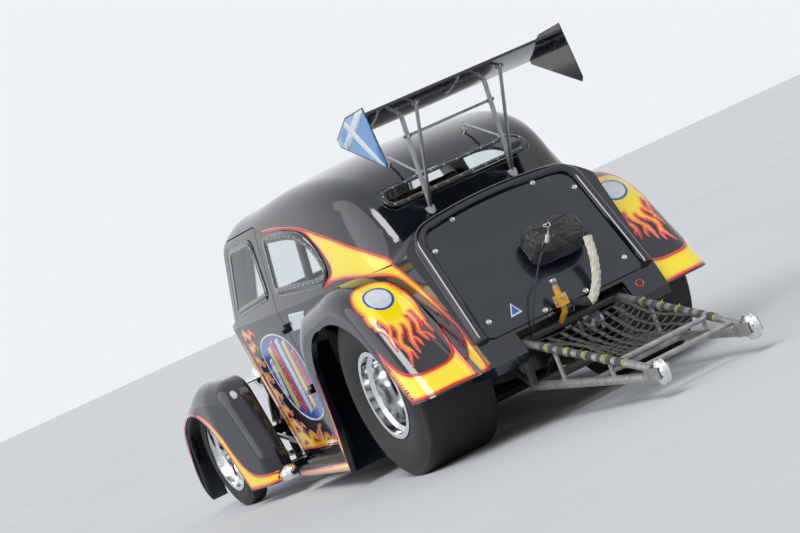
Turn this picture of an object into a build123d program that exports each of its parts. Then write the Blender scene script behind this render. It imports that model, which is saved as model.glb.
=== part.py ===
"""A steel-tube drag racing car with a narrow pre-war saloon body, rear wing, parachute and wheelie bars.

Millimetres.  +X is the car's left, +Y its rear, +Z up.  The origin is on the ground at the middle of
the car's overall length and width.  Body stations are measured from the rear axle: at(s) turns such a
station (negative towards the nose) into a Y value.
"""
from build123d import *
from math import sqrt, sin, cos, radians, hypot
import os

# Overall layout
WHEELBASE = 2610.0            # front axle to rear axle
NOSE_OVERHANG = 530.0         # front axle to the tips of the front fenders
WHEELIE_REACH = 1600.0        # rear axle back to the wheelie bar wheels' axle
WHEELIE_WHEEL_R = 52.0
OVERALL_LENGTH = NOSE_OVERHANG + WHEELBASE + WHEELIE_REACH + WHEELIE_WHEEL_R
REAR_AXLE_Y = OVERALL_LENGTH / 2 - WHEELIE_REACH - WHEELIE_WHEEL_R
FRONT_AXLE_S = -WHEELBASE

# Wheels and tyres
REAR_TYRE_R = 385.0
REAR_TYRE_W = 380.0
REAR_WHEEL_X = 524.0          # middle plane of the rear slick
FRONT_TYRE_R = 298.0
FRONT_TYRE_W = 106.0
FRONT_WHEEL_X = 640.0         # middle plane of the front tyre
RIM_FLANGE_R = 206.0          # outside of a fifteen inch rim's flange
RIM_SEAT_R = 190.0            # where the tyre's beads sit
REAR_RIM_W = 346.0
FRONT_RIM_W = 98.0
RIM_WALL = 5.0

# Cab body
SKIN = 20.0                   # outer panel with its inner frame and trim
SILL_Z = 150.0
BELT_Z = 890.0
SHUT_GAP = 6.0                # gap all round a door
FIT = 0.4                     # clearance between pieces that are bolted or bonded together
SEAT_GAP = 0.2                # clearance round a tube that a piece is clamped or welded to
ROOF_CROWN = 34.0             # how far the roof's middle stands above its edges
# station, half width at the sill, at the belt, at the roof's edge, roof height, roof corner radius
CAB_STATIONS = [
    (-2040, 468, 542, 478, 1330, 95),
    (-1700, 505, 572, 502, 1374, 110),
    (-1300, 530, 592, 518, 1402, 125),
    (-850, 540, 602, 526, 1414, 135),
    (-450, 532, 596, 520, 1400, 140),
    (-150, 512, 574, 494, 1348, 135),
    (60, 490, 545, 452, 1240, 120),
    (200, 474, 514, 410, 1056, 90),
    (340, 462, 490, 388, 1018, 100),
    (720, 436, 450, 366, 985, 90),
]
COWL_S = -2010.0              # front of the cab, where the bonnet ends
COWL_Z = 908.0
SCREEN_FOOT = (-1925.0, 925.0)    # station and height of the windscreen's foot
SCREEN_HEAD = (-1712.0, 1345.0)
TAIL_TOP = (318.0, 1015.0)    # station and height of the sloping tail's top edge
TAIL_FOOT = (668.0, 330.0)
TAIL_SIDE_Z = 292.0           # lower edge of the body behind the rear wheels
TAIL_GAP_W = 276.0            # half width of the gap under the boot panel that shows the frame
TAIL_GAP_Z = 420.0

# Rear wheel housing
WHEEL_CLEAR_R = 432.0
TUB_WALL = 4.0
TUB_INNER_X = 322.0
TUB_SKIRT_Z = 560.0           # lower edge of the tub's inner wall, above the axle and the frame rail

# Bonnet
# station, half width at the foot, at the shoulder, at the top's edge, top height, shoulder radius
BONNET_STATIONS = [
    (-2834, 132, 152, 118, 852, 60),
    (-2500, 262, 292, 240, 902, 90),
    (-2220, 402, 432, 372, 924, 110),
    (-2018, 496, 526, 462, 934, 118),
]

# Frame and cage
RAIL_R = 24.0
RAIL_X = 290.0
RAIL_Z = 112.0
RAIL_KICK_Z = 520.0           # the rails' height where they pass over the rear axle
CAGE_R = 20.0
REAR_BAR = (-535.0, 1120.0)   # station and height of the padded bar seen through the rear window
HOOP_S = -800.0
JACK_PAD_Z = 80.0             # flat underside of the jacking pads below the rails
TOW_EYE_R = 13.0
TOW_EYE_Z = 112.0
TOW_LUG_T = 10.0
CHIP = 50.0                   # offcuts smaller than this, in cubic millimetres, are dropped

# Fenders
FENDER_WALL = 6.0
FENDER_X = 758.0              # outer face of all four fenders
ARCH_LIP = 30.0               # how far the rear wheel opening's edge turns in
FENDER_ROUND = 100.0          # radius of the rear fenders' outer edge
FRONT_ROUND = 100.0           # radius of the front fenders' outer edge
FRONT_INNER_X = 568.0         # inner face of the front fender's bulge, outside the bonnet's side
FRONT_INNER_ROUND = 22.0
FRONT_LOCK_S = -2255.0        # ahead of this the bulge has no inner wall, so that the steered tyre can swing
FRONT_TAPER = [(758.0, -2330.0), (694.0, -1950.0)]    # the front fender's side draws in to its foot
CATWALK_Z = 606.0             # the flat between the bulge and the bonnet's side
CATWALK_FIT = 1.0
WEB_Z = 158.0                 # the ledge that ties the fender's foot to the cab

# Engine, driveline and axle
CRANK_Z = 318.0               # height of the engine's and gearbox's centre line
TUNNEL_X = 137.0              # half width of the floor's tunnel
TUNNEL_Z = 477.0              # its top
LINK_X = 240.0                # middle of each axle bracket
REAR_LINK_S = -490.0          # the cross tube that the lower links pull on
REAR_HUB_X = 346.0            # inner end of each rear wheel's hub

# Steering and driver
DRIVER_X = 318.0              # middle of the driver's seat and steering wheel
STEER_ARM = 105.0             # kingpin to tie rod end
KINGPIN_X = 540.0

# Exhausts
EXHAUST_ROUTE = [(200.3, -2250, 430), (300, -2250, 430), (365, -2120, 104), (616, -2030, 110), (616, -1942, 112)]
EXHAUST_R = 38.0
EXHAUST_CLEAR = 5.0
EXHAUST_DOME = (616.0, -1915.0, 112.0)    # middle of the round turn-down at the pipe's end
EXHAUST_DOME_R = 50.0
EXHAUST_DOME_WALL = 4.0

# Rear end
WHEELIE_X = 218.0             # middle plane of each wheelie bar wheel
WHEELIE_Z = 108.0
WING_SPAN = 996.0
PLATE_T = 5.0
STRUT_X = 214.0               # feet of the wing's struts
CHUTE_MOUNT_X = 40.0          # the parachute's shackle

parts = {}


def at(s):
    """Y of a station measured from the rear axle, negative towards the nose."""
    return REAR_AXLE_Y + s


def side_plane(x):
    """A plane across the car at x, in which a point is (Y, Z)."""
    return Plane(origin=(x, 0, 0), x_dir=(0, 1, 0), z_dir=(1, 0, 0))


def cross_plane(y):
    """A plane along the car at y, in which a point is (X, Z)."""
    return Plane(origin=(0, y, 0), x_dir=(1, 0, 0), z_dir=(0, -1, 0))


def outline(points, corner=0.0, grow=0.0):
    """A flat face from (u, v) points; (u, v, "arc") is a point that an arc passes through."""
    edges, i, count = [], 0, len(points)
    while i < count:
        here, after = points[i][:2], points[(i + 1) % count]
        if len(after) == 3:
            edges.append(ThreePointArc(here, after[:2], points[(i + 2) % count][:2]))
            i += 2
        else:
            edges.append(Line(here, after[:2]))
            i += 1
    face = make_face(edges)
    if corner:
        face = fillet(face.vertices(), corner)
    if grow:
        face = offset(face, amount=grow)
    return face


def side_prism(points, x0, x1, corner=0.0, grow=0.0):
    """A (station, Z) outline made solid from x0 to x1."""
    moved = [(at(p[0]),) + tuple(p[1:]) for p in points]
    return extrude(side_plane(x0) * outline(moved, corner, grow), x1 - x0)


def plan_prism(points, z0, z1, corner=0.0):
    """An (X, station) outline made solid from z0 to z1."""
    moved = [(p[0], at(p[1])) + tuple(p[2:]) for p in points]
    return extrude(Plane.XY.offset(z0) * outline(moved, corner), z1 - z0)


def block(x0, x1, s0, s1, z0, z1):
    """A box between two X values, two stations and two heights."""
    return Pos((x0 + x1) / 2, at((s0 + s1) / 2), (z0 + z1) / 2) * Box(x1 - x0, s1 - s0, z1 - z0)


def rod(a, b, r):
    """A round bar of radius r between two (X, station, Z) points."""
    a, b = Vector(a[0], at(a[1]), a[2]), Vector(b[0], at(b[1]), b[2])
    plane = Plane(origin=a, z_dir=(b - a).normalized())
    return plane * Cylinder(r, (b - a).length, align=(Align.CENTER, Align.CENTER, Align.MIN))


def x_disc(x0, x1, r, s, z):
    """A round disc about an axle along X."""
    return rod((x0, s, z), (x1, s, z), r)


def tube(points, r, bend):
    """A round bar swept along straight runs joined by arcs of radius bend."""
    path = FilletPolyline(*[(p[0], at(p[1]), p[2]) for p in points], radius=bend)
    return sweep(Plane(origin=path @ 0, z_dir=path % 0) * Circle(r), path=path)


def revolved(profile, x_side, x0, s, z):
    """A turned piece about an axle along X: (distance from x0 outwards, radius) points."""
    plane = Plane(origin=(x0, at(s), z), x_dir=(x_side, 0, 0), z_dir=(0, -x_side, 0))
    return revolve(plane * outline(profile), axis=Axis((x0, at(s), z), (1, 0, 0)))


def fused(pieces):
    """All the pieces joined into one shape."""
    first, *others = pieces
    return first.fuse(*others) if others else first


def twin(shape):
    """The shape and its mirror image on the car's other side, as one."""
    return Compound(children=[shape, mirror(shape, Plane.YZ)])


def pair(name, shape):
    """A left piece and its mirrored right one, as two named pieces."""
    parts[name + "_left"] = shape
    parts[name + "_right"] = mirror(shape, Plane.YZ)


# Cab body


def body_section(station, floor_z, w_floor, waist_z, w_waist, w_top, top_z, corner_r, crown):
    """One closed section: floor, sides that lean out then in, round shoulders and a crowned top."""
    edge_z = top_z - crown
    top_r = (w_top ** 2 + crown ** 2) / (2 * crown)
    centre_z = top_z - top_r
    # the upper side's direction, and its normal pointing inwards
    du, dv = w_top - w_waist, edge_z - waist_z
    length = hypot(du, dv)
    du, dv = du / length, dv / length
    nu, nv = -dv, du
    # the shoulder arc's centre lies corner_r inside the side and inside the top's arc
    fu, fv = w_top + corner_r * nu, edge_z + corner_r * nv - centre_z
    b, c = -(fu * du + fv * dv), fu * fu + fv * fv - (top_r - corner_r) ** 2
    root = sqrt(b * b - c)
    t = min((-b - root, -b + root), key=abs)
    cu, cv = fu - t * du, fv - t * dv + centre_z
    side = (cu - corner_r * nu, cv - corner_r * nv)
    away = hypot(cu, cv - centre_z)
    top = (cu * top_r / away, centre_z + (cv - centre_z) * top_r / away)
    mid_u, mid_v = (side[0] + top[0]) / 2 - cu, (side[1] + top[1]) / 2 - cv
    k = corner_r / hypot(mid_u, mid_v)
    mid = (cu + mid_u * k, cv + mid_v * k)

    def flip(p):
        return (-p[0], p[1])

    foot, waist = (w_floor, floor_z), (w_waist, waist_z)
    edges = [
        Line(flip(foot), foot), Line(foot, waist), Line(waist, side), ThreePointArc(side, mid, top),
        ThreePointArc(top, (0, top_z), flip(top)), ThreePointArc(flip(top), flip(mid), flip(side)),
        Line(flip(side), flip(waist)), Line(flip(waist), flip(foot)),
    ]
    return cross_plane(at(station)) * make_face(edges)


def cab_form(inset=0.0):
    """The cab's outer form, or the form of its inside when inset is the wall."""
    floor_z = SILL_Z - (100 if inset > 0 else 0)
    sections = []
    for station, w_sill, w_belt, w_roof, roof_z, corner_r in CAB_STATIONS:
        sections.append(body_section(
            station, floor_z, w_sill - inset, BELT_Z, w_belt - inset, w_roof - inset, roof_z - inset,
            max(corner_r - inset, 12.0), ROOF_CROWN))
    solid = loft(sections)
    (fs, fz), (hs, hz) = SCREEN_FOOT, SCREEN_HEAD
    (ts, tz), (bs, bz) = TAIL_TOP, TAIL_FOOT
    front, tail = inset * 1.12, inset * 1.12
    rake, lean = (hs - fs) / (hz - fz), (bs - ts) / (tz - bz)
    low, high = 0.0, 1600.0
    screen_cut = side_prism([
        (COWL_S - 300, low), (COWL_S + inset, low), (COWL_S + inset, COWL_Z - inset), (fs + front, fz - inset),
        (fs + front + rake * (high - fz + inset), high), (COWL_S - 300, high)], -800, 800)
    tail_cut = side_prism([
        (ts - tail - lean * (high - tz), high), (bs - tail, bz), (bs - tail, low), (bs + 400, low),
        (bs + 400, high)], -800, 800)
    return solid - screen_cut - tail_cut


def slope_plane(low, high, lift=0.0, rearward=True):
    """A plane across the car on the line between two (station, Z) points; v runs up the slope."""
    ds, dz = high[0] - low[0], high[1] - low[1]
    run = hypot(ds, dz)
    sign = 1.0 if rearward else -1.0
    normal = Vector(0, sign * dz / run, -sign * ds / run)
    origin = Vector(0, at(low[0]), low[1]) + normal * lift
    return Plane(origin=origin, x_dir=(-sign, 0, 0), z_dir=normal)


def slope_v(low, high, z):
    """How far up such a plane a height lies."""
    return (z - low[1]) * hypot(high[0] - low[0], high[1] - low[1]) / (high[1] - low[1])


DOOR_HINGE_X = 612.0
DOOR_HINGE_S = -1112.0
DOOR_HINGE_ZS = (470.0, 780.0)    # foot of each of a door's two hinges
HINGE_KNUCKLE = 22.0
HINGE_R = 7.0
BONNET_HINGE_X = 300.0
BONNET_AXIS_S = -2014.0
BONNET_AXIS_Z = 950.0
BONNET_PIN_R = 4.5


def hinge_knuckle(z0, z1, way):
    """A door hinge's knuckle with its arm, which runs forward (-1) or rearward (1) onto the skin."""
    barrel = extrude(Pos(DOOR_HINGE_X, at(DOOR_HINGE_S), z0) * Circle(HINGE_R), z1 - z0)
    near = DOOR_HINGE_S - 3.6 if way < 0 else DOOR_HINGE_S
    ends = sorted((near, DOOR_HINGE_S + way * 46))
    return barrel + block(520, DOOR_HINGE_X + HINGE_R, *ends, z0, z1)


DOOR_OUTLINE = [(-1935, 178), (-1115, 178), (-1115, 1312), (-1668, 1312), (-1868, 920), (-1895, 860)]
DOOR_WINDOW = [(-1806, 948), (-1187, 976), (-1232, 1256), (-1632, 1256)]
QUARTER_WINDOW = [(-1052, 968), (-430, 930), (-325, 962), (-400, 1100, "arc"), (-560, 1190), (-726, 1222),
                  (-1030, 1246)]
WINDOW_LAP = 12.0             # how far a pane overlaps the panel round its opening
PANE_T = 4.0


def build_cab():
    outer, inner = cab_form(), cab_form(SKIN)
    skin_out, skin_pane = cab_form(-FIT), cab_form(-FIT - PANE_T)
    shell = outer - inner

    # doors: the stretch of the shell inside their outlines, less the gap all round
    opening = side_prism(DOOR_OUTLINE, 200, 900, corner=28)
    leaf = side_prism(DOOR_OUTLINE, 200, 900, corner=28, grow=-SHUT_GAP)
    glass_hole = side_prism(DOOR_WINDOW, 200, 900, corner=45)
    glass = side_prism(DOOR_WINDOW, 200, 900, corner=45, grow=WINDOW_LAP)
    pane_skin = skin_pane - skin_out
    door = (shell & leaf) - glass_hole
    for low in DOOR_HINGE_ZS:
        door = door + (hinge_knuckle(low, low + HINGE_KNUCKLE, -1) - outer)
    pair("door", door)
    pair("door_glass", pane_skin & glass)
    for cut in (opening, mirror(opening, Plane.YZ)):
        shell = shell - cut

    # quarter windows, windscreen and rear window
    quarter = side_prism(QUARTER_WINDOW, 200, 900, corner=40)
    quarter_pane = side_prism(QUARTER_WINDOW, 200, 900, corner=40, grow=WINDOW_LAP)
    for cut in (quarter, mirror(quarter, Plane.YZ)):
        shell = shell - cut
    parts["quarter_windows"] = twin(pane_skin & quarter_pane)

    screen = slope_plane(SCREEN_FOOT, SCREEN_HEAD, rearward=False)
    low_v, high_v = (slope_v(SCREEN_FOOT, SCREEN_HEAD, z) for z in (958, 1296))
    screen_points = [(-448, low_v), (448, low_v), (400, high_v), (-400, high_v)]
    hole = outline(screen_points, corner=45)
    shell = shell - extrude(screen * hole, -60, both=True)
    parts["windscreen"] = extrude(screen * offset(hole, amount=WINDOW_LAP), PANE_T)

    rear_points = [(-325, 1106), (325, 1106), (372, 1150, "arc"), (325, 1202), (-325, 1202), (-372, 1150, "arc")]
    rear_hole = extrude(cross_plane(at(-60)) * outline(rear_points), -300)
    rear_pane = extrude(cross_plane(at(-60)) * outline(rear_points, grow=WINDOW_LAP), -300)
    shell = shell - rear_hole
    parts["rear_window"] = pane_skin & rear_pane

    # the tail: opening behind the boot panel, and the gap below it
    tail = slope_plane(TAIL_FOOT, TAIL_TOP)
    vs = {z: slope_v(TAIL_FOOT, TAIL_TOP, z) for z in (436, 470, 900, 939, 955)}
    opening = outline([(-350, vs[470]), (350, vs[470]), (335, vs[900]), (-335, vs[900])], corner=50)
    shell = shell - extrude(tail * opening, -60, both=True)
    gap = side_prism([(450, 0), (760, 0), (760, TAIL_GAP_Z), (450, TAIL_GAP_Z)], -TAIL_GAP_W, TAIL_GAP_W)
    below = side_prism([(300, 0), (760, 0), (760, TAIL_SIDE_Z), (300, TAIL_SIDE_Z)], -700, 700)
    wheel = x_disc(-900, 900, WHEEL_CLEAR_R, 0, REAR_TYRE_R)
    shell = shell - gap - below - wheel

    panel = outline([(-396, vs[436]), (396, vs[436]), (376, vs[939]), (0, vs[939] + 34, "arc"), (-376, vs[939])])
    panel = fillet(panel.vertices().sort_by(Axis.Y)[-2:], 70)
    panel = fillet(panel.vertices().sort_by(Axis.Y)[:2], 30)
    parts["boot_panel"] = extrude(tail * panel, 8)

    # a half-round moulding that runs up one side of the boot panel, over its top and down the other
    gap_line, moulding_w, moulding_h = 4.0, 50.0, 30.0
    ring = offset(panel, amount=gap_line + moulding_w) - offset(panel, amount=gap_line)
    ring = ring - Pos(0, vs[436] - 200 + 6) * Rectangle(1200, 400)
    moulding = extrude(tail * ring, moulding_h)
    top_edges = moulding.faces().sort_by(Axis(tail.origin, tail.z_dir))[-1].outer_wire().edges()
    long_edges = [e for e in top_edges if e.length > 60]
    moulding = fillet(long_edges, 23)
    parts["boot_moulding"] = moulding
    for low in DOOR_HINGE_ZS:
        knuckle = hinge_knuckle(low + HINGE_KNUCKLE + 0.3, low + 2 * HINGE_KNUCKLE, 1) - outer
        shell = shell + knuckle + mirror(knuckle, Plane.YZ)
    for side in (-1, 1):
        x = side * BONNET_HINGE_X
        eye = block(x - 30, x - 10.3, BONNET_AXIS_S - 7, BONNET_AXIS_S + 60, BONNET_AXIS_Z - 7, BONNET_AXIS_Z + 7)
        eye = eye + block(x - 30, x - 10.3, COWL_S + 4, BONNET_AXIS_S + 60, COWL_Z - 30, BONNET_AXIS_Z)
        eye = eye + rod((x - 30, BONNET_AXIS_S, BONNET_AXIS_Z), (x + 13, BONNET_AXIS_S, BONNET_AXIS_Z), BONNET_PIN_R)
        shell = shell + (eye - outer)
    parts["cab_shell"] = shell.solids().sort_by(SortBy.VOLUME)[-1]
    return outer, inner, skin_out


# Fenders

# corners of each fender's side outline: station, height, radius
REAR_FENDER = [(-728, -120, 0), (-680, 822, 300), (130, 930, 450), (873, -120, 0)]
FRONT_FENDER = [(-3179, -120, 0), (-3022, 540, 250), (-2500, 700, 500), (-2095, 668, 170), (-1950, 250, 170),
                (-1950, -120, 0)]
# edges of the wheel openings, and of the hems below which each fender ends
REAR_ARCH = [(-640, -20), (-652, 80), (-572, 293), (-515, 560), (-440, 680, "arc"), (-235, 750),
             (30, 735, "arc"), (200, 630), (335, 468), (440, 322), (440, -20)]
REAR_HEM = [(-900, -200), (1000, -200), (1000, 322), (0, 322), (0, 80), (-900, 80)]
FRONT_ARCH = [(-3136, -20), (-3130, 62), (-2873, 489), (-2730, 552, "arc"), (-2560, 540), (-2440, 468, "arc"),
              (-2334, 340), (-2237, 88), (-2237, -20)]
FRONT_HEM = [(-3300, -200), (-1900, -200), (-1900, 88), (-2237, 88), (-3142, 70), (-3300, 70)]


def rounded_outline(corners):
    """A flat face from (u, v, radius) corners."""
    face = make_face(Polyline(*[c[:2] for c in corners], close=True))
    for u, v, radius in corners:
        if radius:
            spot = face.vertices().sort_by_distance((u, v, 0))[0]
            face = fillet(spot, radius)
    return face


def fender_form(corners, x0, shrink=0.0):
    """A fender's bulbous form, rounded along its outer edge, or its inside when shrink is the wall."""
    face = rounded_outline([(at(s), z, r) for s, z, r in corners])
    if shrink:
        face = offset(face, amount=-shrink)
    face = side_plane(x0) * face
    body = extrude(face, FENDER_X - shrink - x0)
    rim = body.faces().sort_by(Axis.X)[-1].outer_wire().edges()
    curved = [e for e in rim if (e @ 0.5).Z > -100 and (e @ 0.5).Y < at(900)]
    return fillet(curved, FENDER_ROUND - shrink)


def build_fender(corners, arch, hem, inner_x, cab_skin):
    """A fender hollowed from inside, open to its wheel, cut off along its hem and fitted to the cab."""
    shell = fender_form(corners, inner_x) - fender_form(corners, inner_x - 50, FENDER_WALL)
    shell = shell - side_prism(arch, FENDER_X - 150, FENDER_X + 50)
    shell = shell - side_prism(hem, inner_x - 50, FENDER_X + 50)
    shell = shell - block(0, 560, COWL_S - 5, 800, 0, SILL_Z + 2)
    return shell - cab_skin


def front_form(shrink=0.0):
    """The front fender's bulge, rounded along both edges and drawn in towards its foot."""
    face = rounded_outline([(at(s), z, r) for s, z, r in FRONT_FENDER])
    if shrink:
        face = offset(face, amount=-shrink)
    inner_x = FRONT_INNER_X + shrink
    body = extrude(side_plane(inner_x) * face, FENDER_X - shrink - inner_x)
    (x0, s0), (x1, s1) = FRONT_TAPER
    lean = (x1 - x0) / (s1 - s0)
    x0, x1 = x0 - shrink, x1 - shrink
    beside = plan_prism([(x0, s0), (x0 + 200, s0), (x0 + 200, s1 + 200), (x1 + 200 * lean, s1 + 200)], -300, 1200)
    body = body - beside
    bend = [e for e in body.edges().filter_by(Axis.Z) if abs(e.center().Y - at(s0)) < 1]
    body = fillet(bend, 500)

    # every edge of the outer side but its foot and the two lines where it starts and ends its bend
    middle_x = (FRONT_INNER_X + x1) / 2
    rim = [e for e in body.edges() if e.bounding_box().min.X > middle_x and e.center().Z > -100]
    body = fillet([e for e in rim if e not in body.edges().filter_by(Axis.Z) or e.center().Y > at(s1) - 5],
                  FRONT_ROUND - shrink)
    inner = [e for e in body.edges() if e.bounding_box().max.X < inner_x + 0.1 and e.center().Z > -100]
    return fillet(inner, FRONT_INNER_ROUND - shrink)


def build_front_fender(cab_skin):
    """The bulge, open to its wheel, with the flat beside the bonnet and a ledge that ties its foot to the cab."""
    shell = front_form() - front_form(FENDER_WALL)
    shell = shell - side_prism(FRONT_ARCH, FENDER_X - 150, FENDER_X + 50)
    shell = shell - block(FRONT_INNER_X - 50, FENDER_X - 150, -3400, FRONT_LOCK_S, -200, CATWALK_Z)
    flat = block(0, FRONT_INNER_X + FENDER_WALL, -2650, -2120, CATWALK_Z, CATWALK_Z + FENDER_WALL)
    flat = flat - bonnet_form(-CATWALK_FIT)
    shell = shell + flat.solids().sort_by(Axis.X)[-1]
    web = block(460, FRONT_INNER_X + 3, -2290, FRONT_TAPER[1][1] - 3, WEB_Z, WEB_Z + FENDER_WALL)
    shell = shell + web
    shell = shell - side_prism(FRONT_HEM, FRONT_INNER_X - 150, FENDER_X + 50)
    x, s, z = EXHAUST_DOME
    shell = shell - rod((x, s - 60, z), (x, s, z), EXHAUST_R + EXHAUST_CLEAR)
    shell = shell - tube(EXHAUST_ROUTE, EXHAUST_R + EXHAUST_CLEAR, 62)
    return shell - cab_skin


def build_fenders(cab_skin):
    rear = build_fender(REAR_FENDER, REAR_ARCH, REAR_HEM, 420, cab_skin)
    lip = side_prism(REAR_ARCH, FENDER_X - ARCH_LIP, FENDER_X, grow=FENDER_WALL)
    lip = lip - side_prism(REAR_ARCH, FENDER_X - 100, FENDER_X + 50)
    lip = (lip & fender_form(REAR_FENDER, 420)) - side_prism(REAR_HEM, 300, FENDER_X + 50)
    pair("rear_fender", rear + lip)
    pair("front_fender", build_front_fender(cab_skin))


# Frame, cage and floor


def frame_tubes(grow=0.0):
    """The two tube rails, kicked up over the rear axle, and what is welded to them; grow thickens every tube."""
    x, z, up = RAIL_X, RAIL_Z, RAIL_KICK_Z
    line = [(x, -2980, 190), (x, -2820, z), (x, -430, z), (x, -230, up), (x, 330, up), (x, 560, 372)]
    r, rail_r = CAGE_R + grow, RAIL_R + grow
    rails = [tube(line, rail_r, 90), tube([(-p[0], p[1], p[2]) for p in line], rail_r, 90)]
    # half width, station, height of each cross tube
    welded = [rod((-half, s, height), (half, s, height), r) for half, s, height in [
        (x, -2862, 132), (x, -2668, z), (x, -2668, 560), (x, -2150, z), (470, -1850, z), (x, -1330, z),
        (488, HOOP_S, z), (x, REAR_LINK_S, z), (x, -343, 290), (x, -170, up), (x, 300, up), (x, 560, 372),
        (250, 519, 176)]]
    for side in (-1, 1):
        welded.append(rod((side * x, -2668, z), (side * x, -2668, 560), r))
        welded.append(rod((side * 100, -2862, 134), (side * 100, -2862, 394), 12 + grow))
        welded.append(rod((side * 250, 560, 372), (side * 250, 519, 176), r))
        welded.append(rod((side * 250, 519, 176), (side * x, 120, up), 14 + grow))
        welded.append(block(side * x - 24, side * x + 24, -1370, -1290, JACK_PAD_Z, z))
        lug = side_prism([(-2938, 86), (-2850, 86), (-2850, 162), (-2938, 162)],
                         side * 200 - TOW_LUG_T / 2, side * 200 + TOW_LUG_T / 2, corner=20)
        welded.append(lug - x_disc(-400, 400, TOW_EYE_R, -2912, TOW_EYE_Z))
    return rails, welded


def frame_form(grow=0.0):
    """The whole frame as one form, for what is cut round it."""
    rails, welded = frame_tubes(grow)
    return fused(rails + welded)


def build_frame():
    """Rails, and cross tubes that are notched to butt against the rails and each other."""
    rails, welded = frame_tubes()
    placed, fitted = list(rails), []
    for piece in welded:
        reach = piece.bounding_box()
        for other in placed:
            near = other.bounding_box()
            if all(tuple(reach.min)[k] <= tuple(near.max)[k] and tuple(near.min)[k] <= tuple(reach.max)[k]
                   for k in range(3)):
                piece = piece - other
        fitted += [s for s in piece.solids() if s.volume > CHIP]
        placed.append(piece)
    parts["frame_rails"] = Compound(children=rails)
    parts["frame_cross_tubes"] = Compound(children=fitted)


def cage_form(r):
    """The roll cage round the driver, of tubes of radius r."""
    s = HOOP_S
    pieces = [tube([(472, s, 112), (505, s, 880), (432, s, 1338), (-432, s, 1338), (-505, s, 880), (-472, s, 112)],
                   r, 110)]
    for side in (-1, 1):
        pieces.append(tube([(side * 440, s, 1290), (side * 408, -1600, 1288), (side * 470, -1830, 900),
                            (side * 455, -1850, 112)], r, 70))
        pieces.append(rod((side * 490, s, 560), (side * 460, -1842, 420), r))
        pieces.append(rod((side * 350, s, 1336), (side * 265, 190, RAIL_KICK_Z + 8), r))
    pieces.append(rod((-408, -1600, 1288), (408, -1600, 1288), r))
    pieces.append(rod((-500, s, 820), (500, s, 820), r))
    pieces.append(rod((-325, REAR_BAR[0], REAR_BAR[1]), (325, REAR_BAR[0], REAR_BAR[1]), r))
    return fused(pieces)


def build_chassis(inner_fit):
    frame_clear = frame_form(SEAT_GAP)
    cage = cage_form(CAGE_R) - frame_clear
    cage_clear = cage_form(CAGE_R + FIT)
    build_frame()
    parts["roll_cage"] = cage
    pad = rod((-285, *REAR_BAR), (285, *REAR_BAR), 38)
    parts["roll_bar_padding"] = pad - rod((-300, *REAR_BAR), (300, *REAR_BAR), CAGE_R + FIT)

    # wheel tubs: a drum over each slick, walled on the car's inside
    drum = x_disc(TUB_INNER_X - TUB_WALL, 640, WHEEL_CLEAR_R + TUB_WALL, 0, REAR_TYRE_R)
    hollow = x_disc(TUB_INNER_X, 700, WHEEL_CLEAR_R, 0, REAR_TYRE_R)
    skirt = block(200, 700, -600, 600, -100, TUB_SKIRT_Z) & x_disc(200, TUB_INNER_X + 1, 600, 0, REAR_TYRE_R)
    tub = ((drum - hollow - skirt) & inner_fit) - block(200, 800, -600, 600, -100, SILL_Z + 6)
    tub = tub - side_prism([(300, 0), (500, 0), (500, 330), (300, 330)], 200, 800)
    parts["wheel_tubs"] = twin(tub)

    # folded floor: pan, tunnel, seat-back bulkhead and the deck over the axle
    t, bulk_s, deck_z = 3.0, -448.0, 610.0
    pan = block(-700, 700, COWL_S - 50, bulk_s, SILL_Z, SILL_Z + t)
    tunnel = block(-TUNNEL_X - t, TUNNEL_X + t, COWL_S - 50, bulk_s, SILL_Z, TUNNEL_Z + t)
    wall = block(-700, 700, bulk_s - t, bulk_s, SILL_Z, deck_z)
    deck = block(-TUB_INNER_X + TUB_WALL + FIT, TUB_INNER_X - TUB_WALL - FIT, bulk_s - t, 250, deck_z, deck_z + t)
    floor = fused([pan, tunnel, wall, deck]) - block(-TUNNEL_X, TUNNEL_X, COWL_S - 90, bulk_s + 50, 0, TUNNEL_Z)
    parts["floor_pan"] = (floor & inner_fit) - cage_clear
    return frame_clear


# Engine, driveline and axles


def dome_form(inset):
    """The round end of an exhaust, cut off below, or its inside when inset is the wall."""
    x, s, z = EXHAUST_DOME
    r = EXHAUST_DOME_R - inset
    front = s - 30 + inset
    form = rod((x, front, z), (x, s, z), r) + Pos(x, at(s), z) * Sphere(r)
    return form if inset else form - block(x - 100, x + 100, s - 100, s + 100, z - 100, z - 28)


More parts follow.
